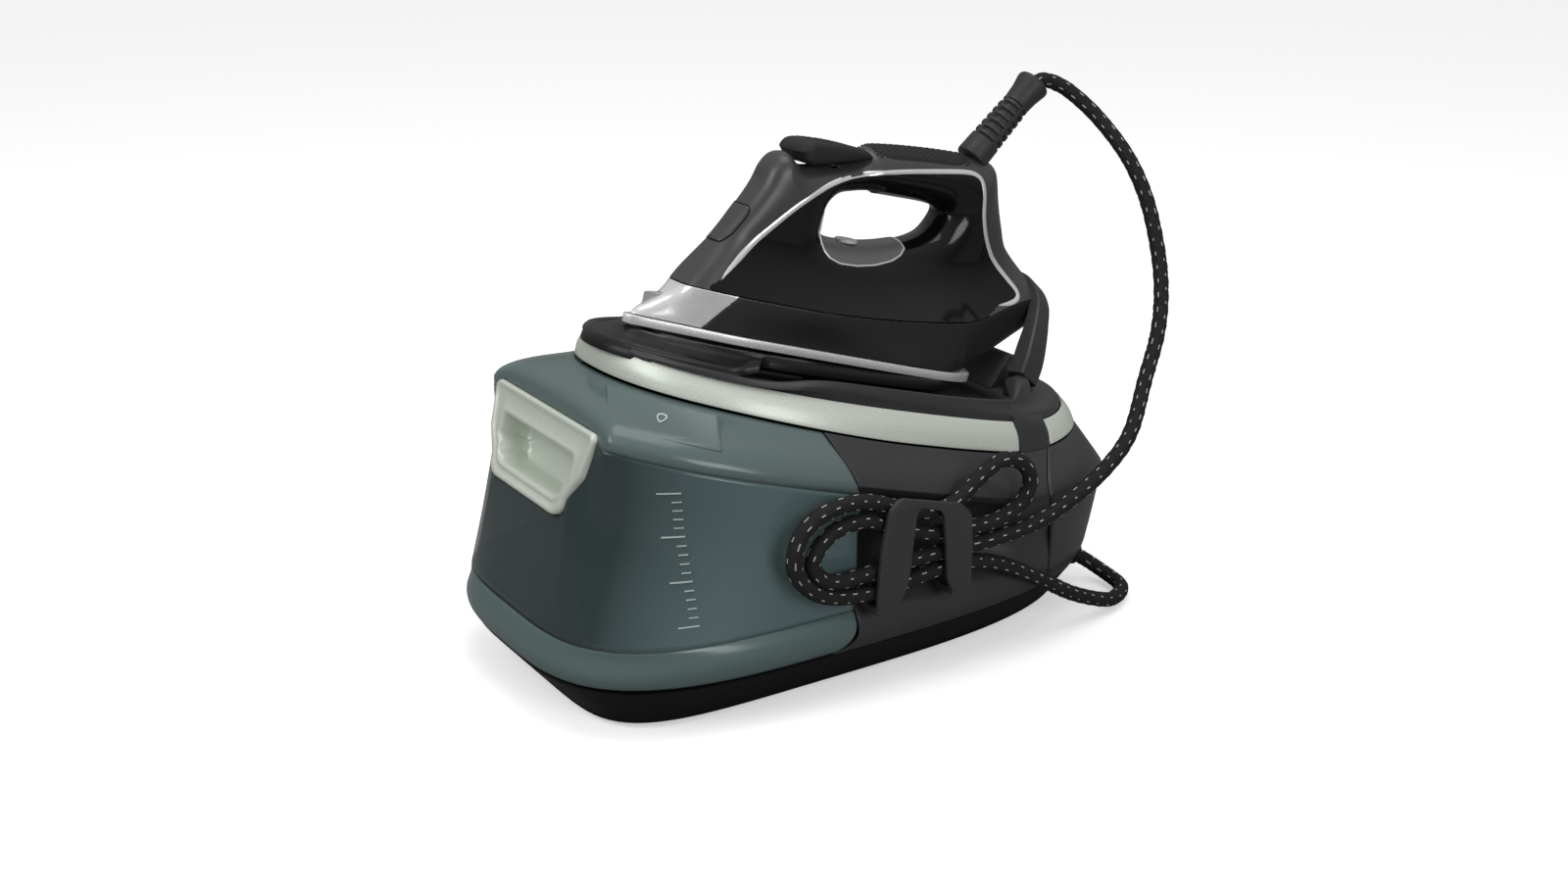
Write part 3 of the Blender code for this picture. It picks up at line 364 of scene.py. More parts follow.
def finish(
    name,
    colour,
    roughness,
    metallic=0.0,
    coat=0.0,
    tone=0.12,
    tone_scale=18.0,
    grain=900.0,
    bump=0.05,
    smudge=0.10,
    stretch=(1, 1, 1),
    alpha=1.0,
    speckle=0.0,
    shine=0.5,
    haze=1.0,
):
    """A plastic or metal with a slow drift of tone, patchy roughness and a fine moulded grain, and optionally
    painted side light that brightens the colour towards +X.
    """
    made = bpy.data.materials.new(name)
    made.use_nodes = True
    tree = made.node_tree
    shader = tree.nodes["Principled BSDF"]
    link = tree.links.new
    place = node(tree, "ShaderNodeTexCoord")
    warp = node(tree, "ShaderNodeMapping", Scale=stretch)
    link(place.outputs["Object"], warp.inputs["Vector"])
    slow = node(tree, "ShaderNodeTexNoise", Scale=tone_scale, Detail=4.0)
    fine = node(tree, "ShaderNodeTexNoise", Scale=grain, Detail=2.0)
    patch = node(tree, "ShaderNodeTexNoise", Scale=tone_scale * 2.7, Detail=6.0)
    for one in (slow, fine, patch):
        link(warp.outputs["Vector"], one.inputs["Vector"])
    last = scaled(tree, colour, slow.outputs["Fac"], To_Min=1 - tone, To_Max=1 + tone)
    if speckle:
        spots = node(tree, "ShaderNodeTexVoronoi", Scale=1400.0)
        link(warp.outputs["Vector"], spots.inputs["Vector"])
        last = scaled(
            tree, last, spots.outputs["Distance"], From_Min=0.0, From_Max=0.7, To_Min=1 + speckle,
            To_Max=1 - speckle,
        )
    if haze > 1:  # painted light: the base colour is brightened towards the +X side, where the side lamp falls on the translucent wall
        split = node(tree, "ShaderNodeSeparateXYZ")
        link(place.outputs["Object"], split.inputs["Vector"])
        last = scaled(
            tree, last, split.outputs["X"], From_Min=SIDE_LIGHT_PAINT_FROM, From_Max=SIDE_LIGHT_PAINT_TO, To_Min=1.0, To_Max=haze,
        )
    link(last, shader.inputs["Base Color"])
    low, high = max(0.02, roughness * (1 - smudge)), min(1.0, roughness * (1 + smudge) + 0.01)
    rough = node(tree, "ShaderNodeMapRange", To_Min=low, To_Max=high)
    link(patch.outputs["Fac"], rough.inputs["Value"])
    link(rough.outputs["Result"], shader.inputs["Roughness"])
    relief = node(tree, "ShaderNodeBump", Strength=bump, Distance=0.0004)
    link(fine.outputs["Fac"], relief.inputs["Height"])
    link(relief.outputs["Normal"], shader.inputs["Normal"])
    fill(
        shader, Metallic=metallic, Specular_IOR_Level=shine, Coat_Weight=coat, Coat_Roughness=0.06,
        Alpha=alpha,
    )
    return made


DARK = finish("dark_grey_satin", (0.040, 0.038, 0.040), 0.38, bump=0.07, shine=0.35)
CONSOLE = finish("console_satin", (0.085, 0.083, 0.086), 0.40, bump=0.07, shine=0.4)
SKIRT = finish("skirt_satin", (0.018, 0.017, 0.019), 0.30, bump=0.05, shine=0.35)
BLACK = finish("black_moulding", (0.006, 0.006, 0.007), 0.45, bump=0.12, shine=0.15)
GLOSS = finish("gloss_black", (0.004, 0.004, 0.005), 0.12, bump=0.010, smudge=0.25, shine=0.32)
SATIN = finish("iron_satin", (0.052, 0.050, 0.052), 0.34, bump=0.08, shine=0.5)
PAD = finish("pad_satin", (0.120, 0.119, 0.121), 0.30, bump=0.05, shine=0.5)
GRIP = finish("grip_rubber", (0.020, 0.019, 0.021), 0.60, bump=0.3, grain=2400, shine=0.3)
SILICONE = finish("heatproof_silicone", (0.008, 0.008, 0.009), 0.32, bump=0.1, grain=1500, shine=0.25)
RUBBER = finish("black_rubber", (0.012, 0.012, 0.013), 0.55, bump=0.3, grain=1800, shine=0.25)
BOOT = finish("grey_rubber", (0.036, 0.036, 0.038), 0.45, bump=0.15, grain=1600, shine=0.3)
SAGE = finish("sage_lacquer", (0.66, 0.71, 0.63), 0.34, metallic=0.15, bump=0.10, speckle=0.10, tone=0.05)
STEEL = finish(
    "brushed_steel", (0.78, 0.78, 0.79), 0.26, metallic=0.5, stretch=(30, 1, 30), grain=240, bump=0.08,
)
CHROME = finish(
    "polished_chrome", (0.82, 0.82, 0.83), 0.18, metallic=0.5, stretch=(1, 14, 14), grain=260, bump=0.02,
)
SILVER = finish("silver_trim", (0.76, 0.76, 0.78), 0.24, metallic=0.45, grain=700, bump=0.03)
CAST = finish("cast_aluminium", (0.42, 0.42, 0.44), 0.48, metallic=1.0, grain=500, bump=0.4, tone=0.18)
BRASS = finish(
    "turned_brass", (0.58, 0.42, 0.18), 0.28, metallic=1.0, stretch=(1, 1, 20), grain=300, bump=0.1,
)
BOARD = finish("circuit_board", (0.02, 0.12, 0.05), 0.4, coat=0.4, grain=400, bump=0.2, tone=0.3)
BRAID = finish(
    "braid_black", (0.016, 0.016, 0.017), 0.75, grain=3000, bump=0.5, tone=0.3, tone_scale=160, shine=0.2,
)
FLECK = finish("braid_white", (0.50, 0.50, 0.48), 0.7, grain=3000, bump=0.5, tone=0.2, tone_scale=200)
PEARL = finish("pearl_button", (0.62, 0.63, 0.62), 0.28, metallic=0.3, coat=0.4, bump=0.03)
WHITE = finish("printed_mark", (0.50, 0.56, 0.56), 0.4, tone=0.03)
# the tank wall's base colour carries painted side light, up to 3.2 times brighter towards +X
TANK_WALL = finish(
    "tank_wall", (0.040, 0.060, 0.062), 0.14, alpha=0.74, tone=0.10, bump=0.02, tone_scale=9, haze=3.2,
)
TANK_LIP = finish("tank_lip", (0.105, 0.155, 0.154), 0.2, alpha=0.92, tone=0.08, bump=0.03, tone_scale=9)
TANK_HAZE = finish("tank_haze", (0.120, 0.168, 0.164), 0.2, alpha=0.85, tone=0.10, bump=0.03, tone_scale=9)
SEAM_DARK = finish("seam_shadow", (0.004, 0.004, 0.005), 0.7, shine=0.1)

# ---------------------------------------------------------------- base: the lines that its casings follow


def rest_plane(y, above):
    """Height of the plane that lies `above` the iron's soleplate, square to it, at a given y."""
    return TIP[2] - math.tan(TILT) * (y - TIP[1]) + above / math.cos(TILT)


class Level:
    """One line round the base: two superellipse halves that meet at the widest place, and a height."""

    def __init__(self, half_width, y_wide, y_front, y_rear, p_front, p_rear, height):
        self.shape = (half_width, y_wide, y_front, y_rear, p_front, p_rear)
        self.height = height if callable(height) else (lambda y: height + 0 * y)

    def moved(self, dz=0.0, shrink=0.0):
        """The same line moved up by dz and in by shrink."""
        half_width, y_wide, y_front, y_rear, p_front, p_rear = self.shape
        base = self.height
        return Level(
            half_width - shrink, y_wide, y_front + shrink, y_rear - shrink, p_front, p_rear,
            lambda y: base(y) + dz
        )

    def span(self, y0, y1, count):
        """Evenly spaced points on the +X side between two y values, with their heights."""
        half_width, y_wide, y_front, y_rear, p_front, p_rear = self.shape
        a = np.linspace(0, math.pi / 2, 500)
        x = np.concatenate([np.sin(a) ** (2 / p_front), np.cos(a[1:]) ** (2 / p_rear)]) * half_width
        front = y_wide - (y_wide - y_front) * np.cos(a) ** (2 / p_front)
        rear = y_wide + (y_rear - y_wide) * np.sin(a[1:]) ** (2 / p_rear)
        y = np.concatenate([front, rear])
        keep = (y > y0) & (y < y1)
        ends = np.interp([y0, y1], y, x)
        x = np.concatenate([[ends[0]], x[keep], [ends[1]]])
        y = np.concatenate([[max(y0, y_front)], y[keep], [min(y1, y_rear)]])
        length = np.concatenate([[0], np.cumsum(np.hypot(np.diff(x), np.diff(y)))])
        even = np.linspace(0, length[-1], count)
        x, y = np.interp(even, length, x), np.interp(even, length, y)
        return np.stack([x, y, self.height(y)], 1)

    def front(self, y_end, count):
        """From -X round the front to +X, up to y_end on both sides."""
        half = self.span(-1e3, y_end, count)
        return np.vstack([half[:0:-1] * [-1, 1, 1], half])

    def rear(self, y_start, count):
        """From +X round the rear to -X."""
        half = self.span(y_start, 1e3, count)
        return np.vstack([half, half[-2::-1] * [-1, 1, 1]])

    def loop(self, count):
        return self.rear(-1e3, count)[:-1]


def sloped(above, rear_floor, lift=0.0):
    """Follows the iron's rest at the front, where it may stand `lift` higher, and levels off at the rear."""
    return lambda y: smooth_max(rest_plane(y, above), rear_floor, 8.0) + lift * (1 - smoothstep(y, -120, 20))


def deck_edge_height(y):
    """Just under the soleplate at the sides, dipping at the front to pass below the rest's rim."""
    above = -12 + 8.5 / (1 + np.exp(-(y + 58) / 9))
    return smooth_max(rest_plane(y, above), 157, 6.0)


FOOT_HEIGHT = 4.0
SEAM = 0.6
TANK_SEAM_Y = -36.0
COLUMN_FRONT_Y = 112.0
COLUMN_REAR_Y = 146.0
FOOT_LINE = Level(106, -30, -197, 205, 5.0, 3.0, FOOT_HEIGHT)
PAN_LINE = Level(123, -35, -218, 212, 3.4, 3.2, 30.0)
BULGE_LOW = Level(126, -36, -220, 213, 3.3, 3.2, 34.0)
BULGE_MID = Level(131, -40, -224, 216, 3.2, 3.2, 43.0)
BULGE_TOP = Level(130, -40, -220, 217, 3.2, 3.4, 55.0)
WALL_FOOT = Level(126.5, -38, -217, 217, 3.6, 3.4, 60.0)
WAIST = Level(130.5, 0, -217, 219.5, 3.2, 3.3, 75.0)
RIDGE = Level(131, 45, -203, 221, 3.05, 3.2, sloped(-62, 102))
RIDGE_TOP = Level(129.5, 44, -201, 219, 3.05, 3.2, sloped(-59, 105))
BAND_LOW = Level(112, 30, -151, 212, 2.3, 2.8, sloped(-36, 126, 3))
BAND_HIGH = Level(105, 35, -146, 206, 2.2, 2.6, sloped(-15, 141, 0))
DECK_EDGE = Level(103, 20, -142, 184, 2.4, 2.5, deck_edge_height)
DECK_FLOOR = Level(88, 20, -134, 168, 2.4, 2.5, sloped(-14, 142))
CORE_FOOT = Level(98, -30, -178, 120, 3.2, 3.0, 28.0)
CORE_TOP = Level(84, -30, -146, 120, 3.0, 3.0, sloped(-42, 60))


def loft(rows, steps=6, creases=()):
    """Rows between the given ones, on curves that pass through them, with a corner at each crease."""
    rows = [np.asarray(r, float) for r in rows]
    gap = [max(1e-3, float(np.linalg.norm(b - a, axis=1).mean())) for a, b in zip(rows, rows[1:])]
    slopes = [(b - a) / g for a, b, g in zip(rows, rows[1:], gap)]
    last = len(rows) - 1
    smooth = []
    for k in range(len(rows)):
        if k == 0 or k == last or k in creases:
            smooth.append(None)
        else:
            smooth.append((slopes[k - 1] * gap[k] + slopes[k] * gap[k - 1]) / (gap[k - 1] + gap[k]))
    fine = []
    for k, slope in enumerate(slopes):
        m0 = slope if smooth[k] is None else smooth[k]
        m1 = slope if smooth[k + 1] is None else smooth[k + 1]
        count = max(1, min(steps * 3, int(round(gap[k] / 3.0)))) if steps > 1 else 1
        for t in np.linspace(0, 1, count, endpoint=False):
            h00, h10 = 2 * t**3 - 3 * t**2 + 1, t**3 - 2 * t**2 + t
            h01, h11 = 3 * t**2 - 2 * t**3, t**3 - t**2
            fine.append(h00 * rows[k] + h10 * gap[k] * m0 + h01 * rows[k + 1] + h11 * gap[k] * m1)
    fine.append(rows[-1])
    return fine


def casing(name, rows, material, body="base", wall=2.2, edge=0.5, wrap=False, steps=6, creases=(), **links):
    """A casing through the given rows, low to high, with its wall inside."""
    fine = loft(rows, steps, creases)
    obj = new_object(
        name, np.vstack(fine), grid_faces(len(fine), len(fine[0]), wrap), material, body, **links,
    )
    return thicken(obj, wall, edge, outward=(0, SHIFT_Y, 60))


# ---------------------------------------------------------------- base: pan, feet, casings, bands, deck


def groove_depth(y):
    """How deep the hose channel is pressed into the side, fading out towards the rear."""
    return 13.0 / (1 + np.exp(-(y + 40) / 6)) / (1 + np.exp((y - 92) / 12))


def build_pan():
    count = 90
    inner = FOOT_LINE.moved(shrink=7).loop(count)
    floor = FOOT_LINE.moved(shrink=1.2).loop(count)
    foot = FOOT_LINE.moved(dz=1.2).loop(count)
    rows = [inner, floor, foot, FOOT_LINE.moved(dz=2.5).loop(count), PAN_LINE.loop(count)]
    fine = loft(rows, 3, creases=(1, 3))
    faces = [tuple(range(len(inner)))] + grid_faces(len(fine), len(inner), wrap=True)
    pan = new_object(
        "pan_shell", np.vstack(fine), faces, BLACK, "base", replaces=["base_pan"], slot="black_plastic",
        smooth=30,
    )
    thicken(pan, 2.5, 0.5, outward=(0, SHIFT_Y, 25))
    for word, x, y in (
        ("front_right", 78, -150), ("front_left", -78, -150),
        ("rear_right", 72, 150), ("rear_left", -72, 150),
    ):
        profile = [(0.1, 0.9), (4.6, 0.9), (5.4, 0.0), (8.2, 0.0), (9.0, 0.7), (9.0, 3.7), (0.1, 3.7)]
        turned(
            f"foot_{word}_pad", profile, (x, y, 0), (0, 0, 1), RUBBER, "base", replaces=[f"foot_{word}"],
            slot="silicone",
        )


def turned(name, profile, start, direction, material, body, segments=48, iron=False, **links):
    """A solid of revolution: the profile holds (radius, distance) pairs along the axis."""
    turn = Vector(direction).to_track_quat("Z", "Y")
    verts = []
    for radius, along in profile:
        for k in range(segments):
            a = 2 * math.pi * k / segments
            verts.append(
                tuple(turn @ Vector((radius * math.cos(a), radius * math.sin(a), along)) + Vector(start)),
            )
    faces = tube_faces(len(profile), segments)
    if profile[0][0] > 1 and profile[-1][0] > 1:
        last = (len(profile) - 1) * segments
        turns = [(c, (c + 1) % segments) for c in range(segments)]
        faces[-2:] = [(c + last, d + last, d, c) for c, d in turns]
    return new_object(name, verts, faces, material, body, iron=iron, **links)


def build_sides():
    count = 70
    plan = (
        (PAN_LINE.moved(dz=SEAM), -50, 134, 0.0),
        (BULGE_LOW, -42, 134, 0.0),
        (BULGE_MID, -36, 132, 0.0),
        (BULGE_TOP, -36, 132, 0.0),
        (BULGE_TOP.moved(dz=9), -36, 132, 0.6),
        (BULGE_TOP.moved(dz=14), -36, 132, 1.0),
        (RIDGE.moved(dz=-10), -36, 124, 0.9),
        (RIDGE.moved(dz=-4), -36, 123, 0.25),
        (RIDGE, -36, 122.5, 0.0),
        (RIDGE_TOP, -37, 123, 0.0),
        (BAND_LOW.moved(dz=-SEAM), -46, 142, 0.0),
    )
    for side, word in ((1, "right"), (-1, "left")):
        rows = []
        for level, y0, y1, groove in plan:
            row = level.span(y0 + SEAM, y1 - SEAM, count)
            row[:, 0] -= groove * groove_depth(row[:, 1])
            rows.append(row * [side, 1, 1])
        casing(
            f"side_shell_{word}", rows, DARK, creases=(8,), replaces=[f"side_panel_{word}"],
            slot="dark_grey_plastic",
        )
        column = [
            level.span(COLUMN_FRONT_Y + SEAM, COLUMN_REAR_Y - SEAM, 24)
            for level in (BAND_LOW.moved(dz=-SEAM + 0.1), BAND_HIGH, DECK_EDGE.moved(dz=-2.0))
        ]
        rise = smoothstep(column[2][:, 1], 118, 136)[:, None]
        column.append(column[2] + rise * [-4.0, 1.5, 8.5] + [-0.3, 0, 1.2])
        column.append(column[2] + rise * [-11.0, 2.5, 11.0] + [-2.0, 0, 1.6])
        column.append(column[2] + rise * [-21.0, 3.0, 9.0] + [-4.0, 0, -1.0])
        column = [row * [side, 1, 1] for row in column]
        casing(f"column_shell_{word}", column, DARK, replaces=[f"column_{word}"], slot="dark_grey_plastic")


def build_rear_cover():
    rows = [
        level.rear(y + SEAM, 60)
        for level, y in (
            (PAN_LINE.moved(dz=SEAM), 134),
            (BULGE_LOW, 134),
            (BULGE_MID, 132),
            (BULGE_TOP, 132),
            (WAIST, 129),
            (RIDGE, 122.5),
            (RIDGE_TOP, 123),
            (BAND_LOW.moved(dz=-SEAM), 142),
        )
    ]
    casing("rear_shell", rows, DARK, creases=(5,), edge=0, replaces=["rear_cover"], slot="dark_grey_plastic")


def build_bands():
    low, high = BAND_LOW.moved(dz=SEAM), BAND_HIGH.moved(dz=-1.2)

    def swell(rows):
        middle = (rows[0] + rows[1]) / 2
        out = middle.copy()
        out[:, 2] = 0
        out /= np.maximum(np.linalg.norm(out, axis=1), 1)[:, None]
        return [rows[0], middle + out * 1.4, rows[1]]

    front = swell([level.front(COLUMN_FRONT_Y - SEAM, 110) for level in (low, high)])
    casing("band_front", front, SAGE, wall=1.8, edge=0.5, replaces=["trim_band_front"], slot="sage_plastic")
    rear = swell([level.rear(COLUMN_REAR_Y + SEAM, 50) for level in (low, high)])
    casing("band_rear", rear, SAGE, wall=1.8, edge=0.5, replaces=["trim_band_rear"], slot="sage_plastic")


def build_deck():
    """The dark top casing: an outer wall, a rounded rim and a sunken floor that dips in the middle."""
    count = 110
    rows = [
        BAND_HIGH.moved(dz=-6.0, shrink=2.6).loop(count),
        BAND_HIGH.moved(dz=0.4, shrink=1.6).loop(count),
        DECK_EDGE.moved(dz=-3.0, shrink=-0.3).loop(count),
        DECK_EDGE.moved(dz=-0.6, shrink=0.5).loop(count),
        DECK_EDGE.moved(dz=0.0, shrink=2.2).loop(count),
        DECK_EDGE.moved(dz=-1.5, shrink=4.5).loop(count),
        DECK_FLOOR.loop(count),
    ]
    for share in (0.8, 0.55, 0.3, 0.06):
        row = DECK_FLOOR.loop(count) * [share, 1, 1]
        row[:, 1] = 20 + (row[:, 1] - 20) * share
        row[:, 2] = DECK_FLOOR.height(row[:, 1]) - 1.2 * (1 - share)
        rows.append(row)
    fine = loft(rows, 3)
    faces = tube_faces(len(fine), len(rows[0]))
    del faces[-2]
    deck = new_object(
        "deck_shell", np.vstack(fine), faces, DARK, "base", replaces=["top_deck"], slot="dark_grey_plastic",
    )
    thicken(deck, 1.6, 0)
    deck.modifiers["wall"].use_even_offset = False


# ---------------------------------------------------------------- base: tank, handle, flap


HANDLE_FOOT = (-203.5, 133.5)
HANDLE_LEAN = math.radians(19.0)


def handle_plane(z):
    """The y of the flat at the front of the tank, which leans back as it rises."""
    return HANDLE_FOOT[0] + (z - HANDLE_FOOT[1]) * math.tan(HANDLE_LEAN)


def on_handle(points, depth):
    """Points (x, up the flat) to the base's frame, sunk by depth behind the flat."""
    lean = HANDLE_LEAN
    p = np.asarray(points, float)
    depth = np.broadcast_to(depth, (len(p),))
    return np.stack(
        [
            p[:, 0],
            HANDLE_FOOT[0] + p[:, 1] * math.sin(lean) + depth * math.cos(lean),
            HANDLE_FOOT[1] + p[:, 1] * math.cos(lean) - depth * math.sin(lean),
        ],
        1,
    )


def tank_row(level, back, count, inset=0.0):
    row = level.moved(shrink=inset).front(TANK_SEAM_Y - back - SEAM, count)
    row[:, 1] = np.maximum(row[:, 1], handle_plane(row[:, 2]) + 1.5 + inset)
    return row


def build_tank():
    count = 120
    lip = [
        tank_row(BULGE_LOW.moved(dz=-2, shrink=6), 22, count),
        tank_row(BULGE_LOW, 14, count),
        tank_row(BULGE_MID, 3, count),
        tank_row(BULGE_TOP, 0, count),
        tank_row(WALL_FOOT, 0, count),
    ]
    wall = [
        tank_row(WALL_FOOT, 0, count),
        tank_row(RIDGE.moved(dz=-45), 0, count),
        tank_row(RIDGE.moved(dz=-6, shrink=0.4), 0, count),
    ]
    shoulder = [
        wall[-1],
        tank_row(RIDGE, 0, count),
        tank_row(RIDGE_TOP, 1, count),
        tank_row(BAND_LOW.moved(dz=-1.3, shrink=0.5), 10, count),
    ]
    casing("tank_lip", lip, TANK_LIP, "tank", wall=2.4, edge=0.4, slot="tank_plastic")
    main = casing("tank_wall", wall, TANK_WALL, "tank", wall=2.2, edge=0, slot="tank_plastic")
    upper = casing("tank_shoulder", shoulder, TANK_HAZE, "tank", wall=2.2, edge=0, slot="tank_plastic")
    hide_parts("water_tank")
    for obj in (main, upper):
        cut_handle_window(obj)
    for side, word in ((1, "right"), (-1, "left")):
        ends = []
        for level, back, inset in (
            (BULGE_LOW, 14, 3), (BULGE_MID, 3, 3), (BULGE_TOP, 0, 3), (WALL_FOOT, 0, 3),
            (RIDGE.moved(dz=-45), 0, 3),
            (RIDGE, 0, 3), (BAND_LOW.moved(dz=-5, shrink=0.5), 10, 3),
        ):
            outer = level.moved(shrink=inset).span(TANK_SEAM_Y - back - 1.6, TANK_SEAM_Y - back - 1.4, 2)[1]
            inner = np.array([min(outer[0] - 6, 98 - 10 * (outer[2] - 30) / 150), outer[1] + 0, outer[2]])
            ends.append(np.linspace(outer, inner, 8) * [side, 1, 1])
        casing(f"tank_end_{word}", ends, TANK_LIP, "tank", wall=1.8, edge=0, slot="tank_plastic")
    build_tank_marks()
    profile = [
        (0.1, -1), (3.4, -1), (3.4, 0), (4.9, 0.5), (4.9, 6), (4.3, 7), (4.3, 9), (4.9, 10), (4.9, 15),
        (0.1, 15),
    ]
    turned(
        "tank_valve_plug", profile, (-110, -52, 46), (0, 1, 0), BLACK, "tank", replaces=["tank_valve"],
        slot="black_plastic",
    )


def handle_outline(grow=0.0, count=120, top=69.0, low=50.5, foot=0.0, high=59.0):
    """The handle's outline on the flat, counter-clockwise: wide at the top, with round lower corners."""
    top, low, foot, high = top + grow, low + grow, foot - grow, high + grow
    r = 11.0
    half = [(0.0, foot), (low - r, foot)]
    for k in range(1, 6):
        a = -math.pi / 2 + k / 6 * math.pi / 2
        half.append((low - r + r * math.cos(a), foot + r + r * math.sin(a)))
    half += [
        (low, foot + r + 1), ((top + low) / 2 + 2, (foot + high) / 2), (top - 1.2, high - 3),
        (top - 3.5, high),
    ]
    ring = half + [(-x, y) for x, y in reversed(half[1:])]
    return resample(ring, count)


def resample(ring, count):
    """Evenly spaced points on a closed outline of straight pieces."""
    loop = np.array(list(ring) + [ring[0]], float)
    length = np.concatenate([[0], np.cumsum(np.linalg.norm(np.diff(loop, axis=0), axis=1))])
    even = np.linspace(0, length[-1], count, endpoint=False)
    return np.stack([np.interp(even, length, loop[:, k]) for k in range(loop.shape[1])], 1)


def cut_handle_window(obj):
    ring = handle_outline(0.6)
    verts = np.vstack([on_handle(ring, -30.0), on_handle(ring, 40.0)])
    cutter = new_object("handle_cutter", verts, tube_faces(2, len(ring)), SAGE, "tank", smooth=0)
    cut(obj, cutter)


def build_tank_handle():
    """The grip: a framed face with a broad upper lip and a deep finger pocket below it."""
    pocket = dict(top=50.0, low=44.0, foot=11.0, high=40.0)
    rear = [
        (handle_outline(-3.4, **pocket), 22.2),
        (handle_outline(0.8, **pocket), 18.8),
        (handle_outline(1.7, **pocket), 4.0),
        (handle_outline(4.2, **pocket), 2.0),
        (handle_outline(-5.0), 1.6),
        (handle_outline(-2.0), 3.0),
        (handle_outline(-1.8), 6.6),
    ]
    front = [
        (handle_outline(-1.2), 7.0),
        (handle_outline(-0.2), 5.0),
        (handle_outline(0.0), 0.6),
        (handle_outline(-0.3), -0.9),
        (handle_outline(-1.0), -1.8),
        (handle_outline(-2.2), -2.0),
        (handle_outline(-3.6), -1.4),
        (handle_outline(-4.6), -0.6),
        (handle_outline(-6.0), -0.4),
        (handle_outline(4.6, **pocket), -0.2),
        (handle_outline(3.4, **pocket), -0.9),
        (handle_outline(2.0, **pocket), -1.1),
        (handle_outline(0.7, **pocket), -0.2),
        (handle_outline(0.0, **pocket), 1.6),
        (handle_outline(-0.8, **pocket), 12.0),
        (handle_outline(-2.0, **pocket), 18.6),
        (handle_outline(-5.0, **pocket), 20.6),
    ]
    rings = rear + front
    verts = np.vstack([on_handle(ring, depth) for ring, depth in rings])
    faces = tube_faces(len(rings), len(rings[0][0]))
    new_object(
        "handle_shell", verts, faces, SAGE, "tank", replaces=["tank_handle"], slot="sage_plastic", smooth=50,
    )


def tank_surface(z, y):
    """A point on the +X tank wall at a height and a y."""
    share = min(1.0, (z - 60) / max(1.0, float(RIDGE.height(np.array(y))) - 45 - 60))
    low = WALL_FOOT.span(y - 0.1, y, 2)[1]
    high = RIDGE.moved(dz=-45).span(y - 0.1, y, 2)[1]
    return low[0] * (1 - share) + high[0] * share


MARK_COUNT = 16
MARK_START = 73.6
MARK_PITCH = 5.54
LONG_MARK = (13.0, 0.7)  # width and height
SHORT_MARK = (5.5, 0.5)


def build_tank_marks():
    """The level marks: long and short bars, thin and just proud of the wall."""
    verts, faces = [], []
    for mark in range(MARK_COUNT):
        z = MARK_START + mark * MARK_PITCH
        width, height = SHORT_MARK if mark % 5 else LONG_MARK
        y0 = -144.5 - (z - 66) * 0.05
        cells = 8
        base = len(verts)
        for k in range(cells + 1):
            y = y0 - width * k / cells
            for dz, lift in ((0, -0.4), (0, 0.35), (height, 0.35), (height, -0.4)):
                p = tank_normal_point(z + dz, y, lift)
                verts.append(p)
        for k in range(cells):
            for c in range(4):
                d = (c + 1) % 4
                faces.append((base + 4 * k + c, base + 4 * k + d, base + 4 * k + 4 + d, base + 4 * k + 4 + c))
        faces += [tuple(base + c for c in range(4)), tuple(base + 4 * cells + c for c in range(4))]
    new_object("tank_level_marks", verts, faces, WHITE, "tank", slot="tank_plastic", smooth=0)


def tank_normal_point(z, y, lift):
    x = tank_surface(z, y)
    slope = (tank_surface(z, y + 1.0) - tank_surface(z, y - 1.0)) / 2.0
    out = np.array([1.0, -slope, 0.0])
    out /= np.linalg.norm(out)
    return np.array([x, y, z]) + out * lift


def build_flap():
    rows = []
    for share in (0.16, 0.33, 0.5, 0.67, 0.84):
        low = RIDGE_TOP.span(-182, -124, 40)
        high = BAND_LOW.span(-150, -108, 40)
        row = low * (1 - share) + high * share
        rows.append(row + [1.7, -1.2, 2.9])
    casing(
        "flap_shell", rows, TANK_HAZE, "filler_flap", wall=1.8, edge=0.6, replaces=["filler_flap"],
        slot="tank_plastic",
    )
    middle = rows[2]
    across = rows[4] - rows[0]
    up = np.cross(middle[25] - middle[15], across[20])
    up /= np.linalg.norm(up)
    if up[2] < 0:
        up = -up
    along = middle[25] - middle[15]
    along /= np.linalg.norm(along)
    side = np.cross(up, along)
    centre = middle[20] + up * 0.5
    drop = [
        (math.sin(a) * (1 - 0.45 * math.cos(a) * 1.0) * 3.0, -math.cos(a) * 4.2)
        for a in np.linspace(0, 2 * math.pi, 28, endpoint=False)
    ]
    ring_out = [centre + along * x + side * y + up * 0.25 for x, y in drop]
    ring_in = [centre + along * x * 0.7 + side * y * 0.72 + up * 0.25 for x, y in drop]
    low_out = [p - up * 0.7 for p in ring_out]
    low_in = [p - up * 0.7 for p in ring_in]
    verts = ring_out + ring_in + low_in + low_out
    faces = []
    for r in range(4):
        q = (r + 1) % 4
        for c in range(28):
            d = (c + 1) % 28
            faces.append((r * 28 + c, r * 28 + d, q * 28 + d, q * 28 + c))
    new_object("flap_drop_mark", verts, faces, WHITE, "filler_flap", slot="tank_plastic", smooth=0)


def build_core():
    count = 90
    rows = [
        CORE_FOOT.front(60, count),
        (CORE_FOOT.front(60, count) + CORE_TOP.front(60, count)) / 2,
        CORE_TOP.front(60, count),
        CORE_TOP.moved(dz=-2, shrink=4).front(60, count),
    ]
    casing(
        "core_shell", rows, BLACK, wall=2.5, creases=(2,), replaces=["inner_housing"], slot="black_plastic",
    )


# ---------------------------------------------------------------- base: rest, hoop, console, clips


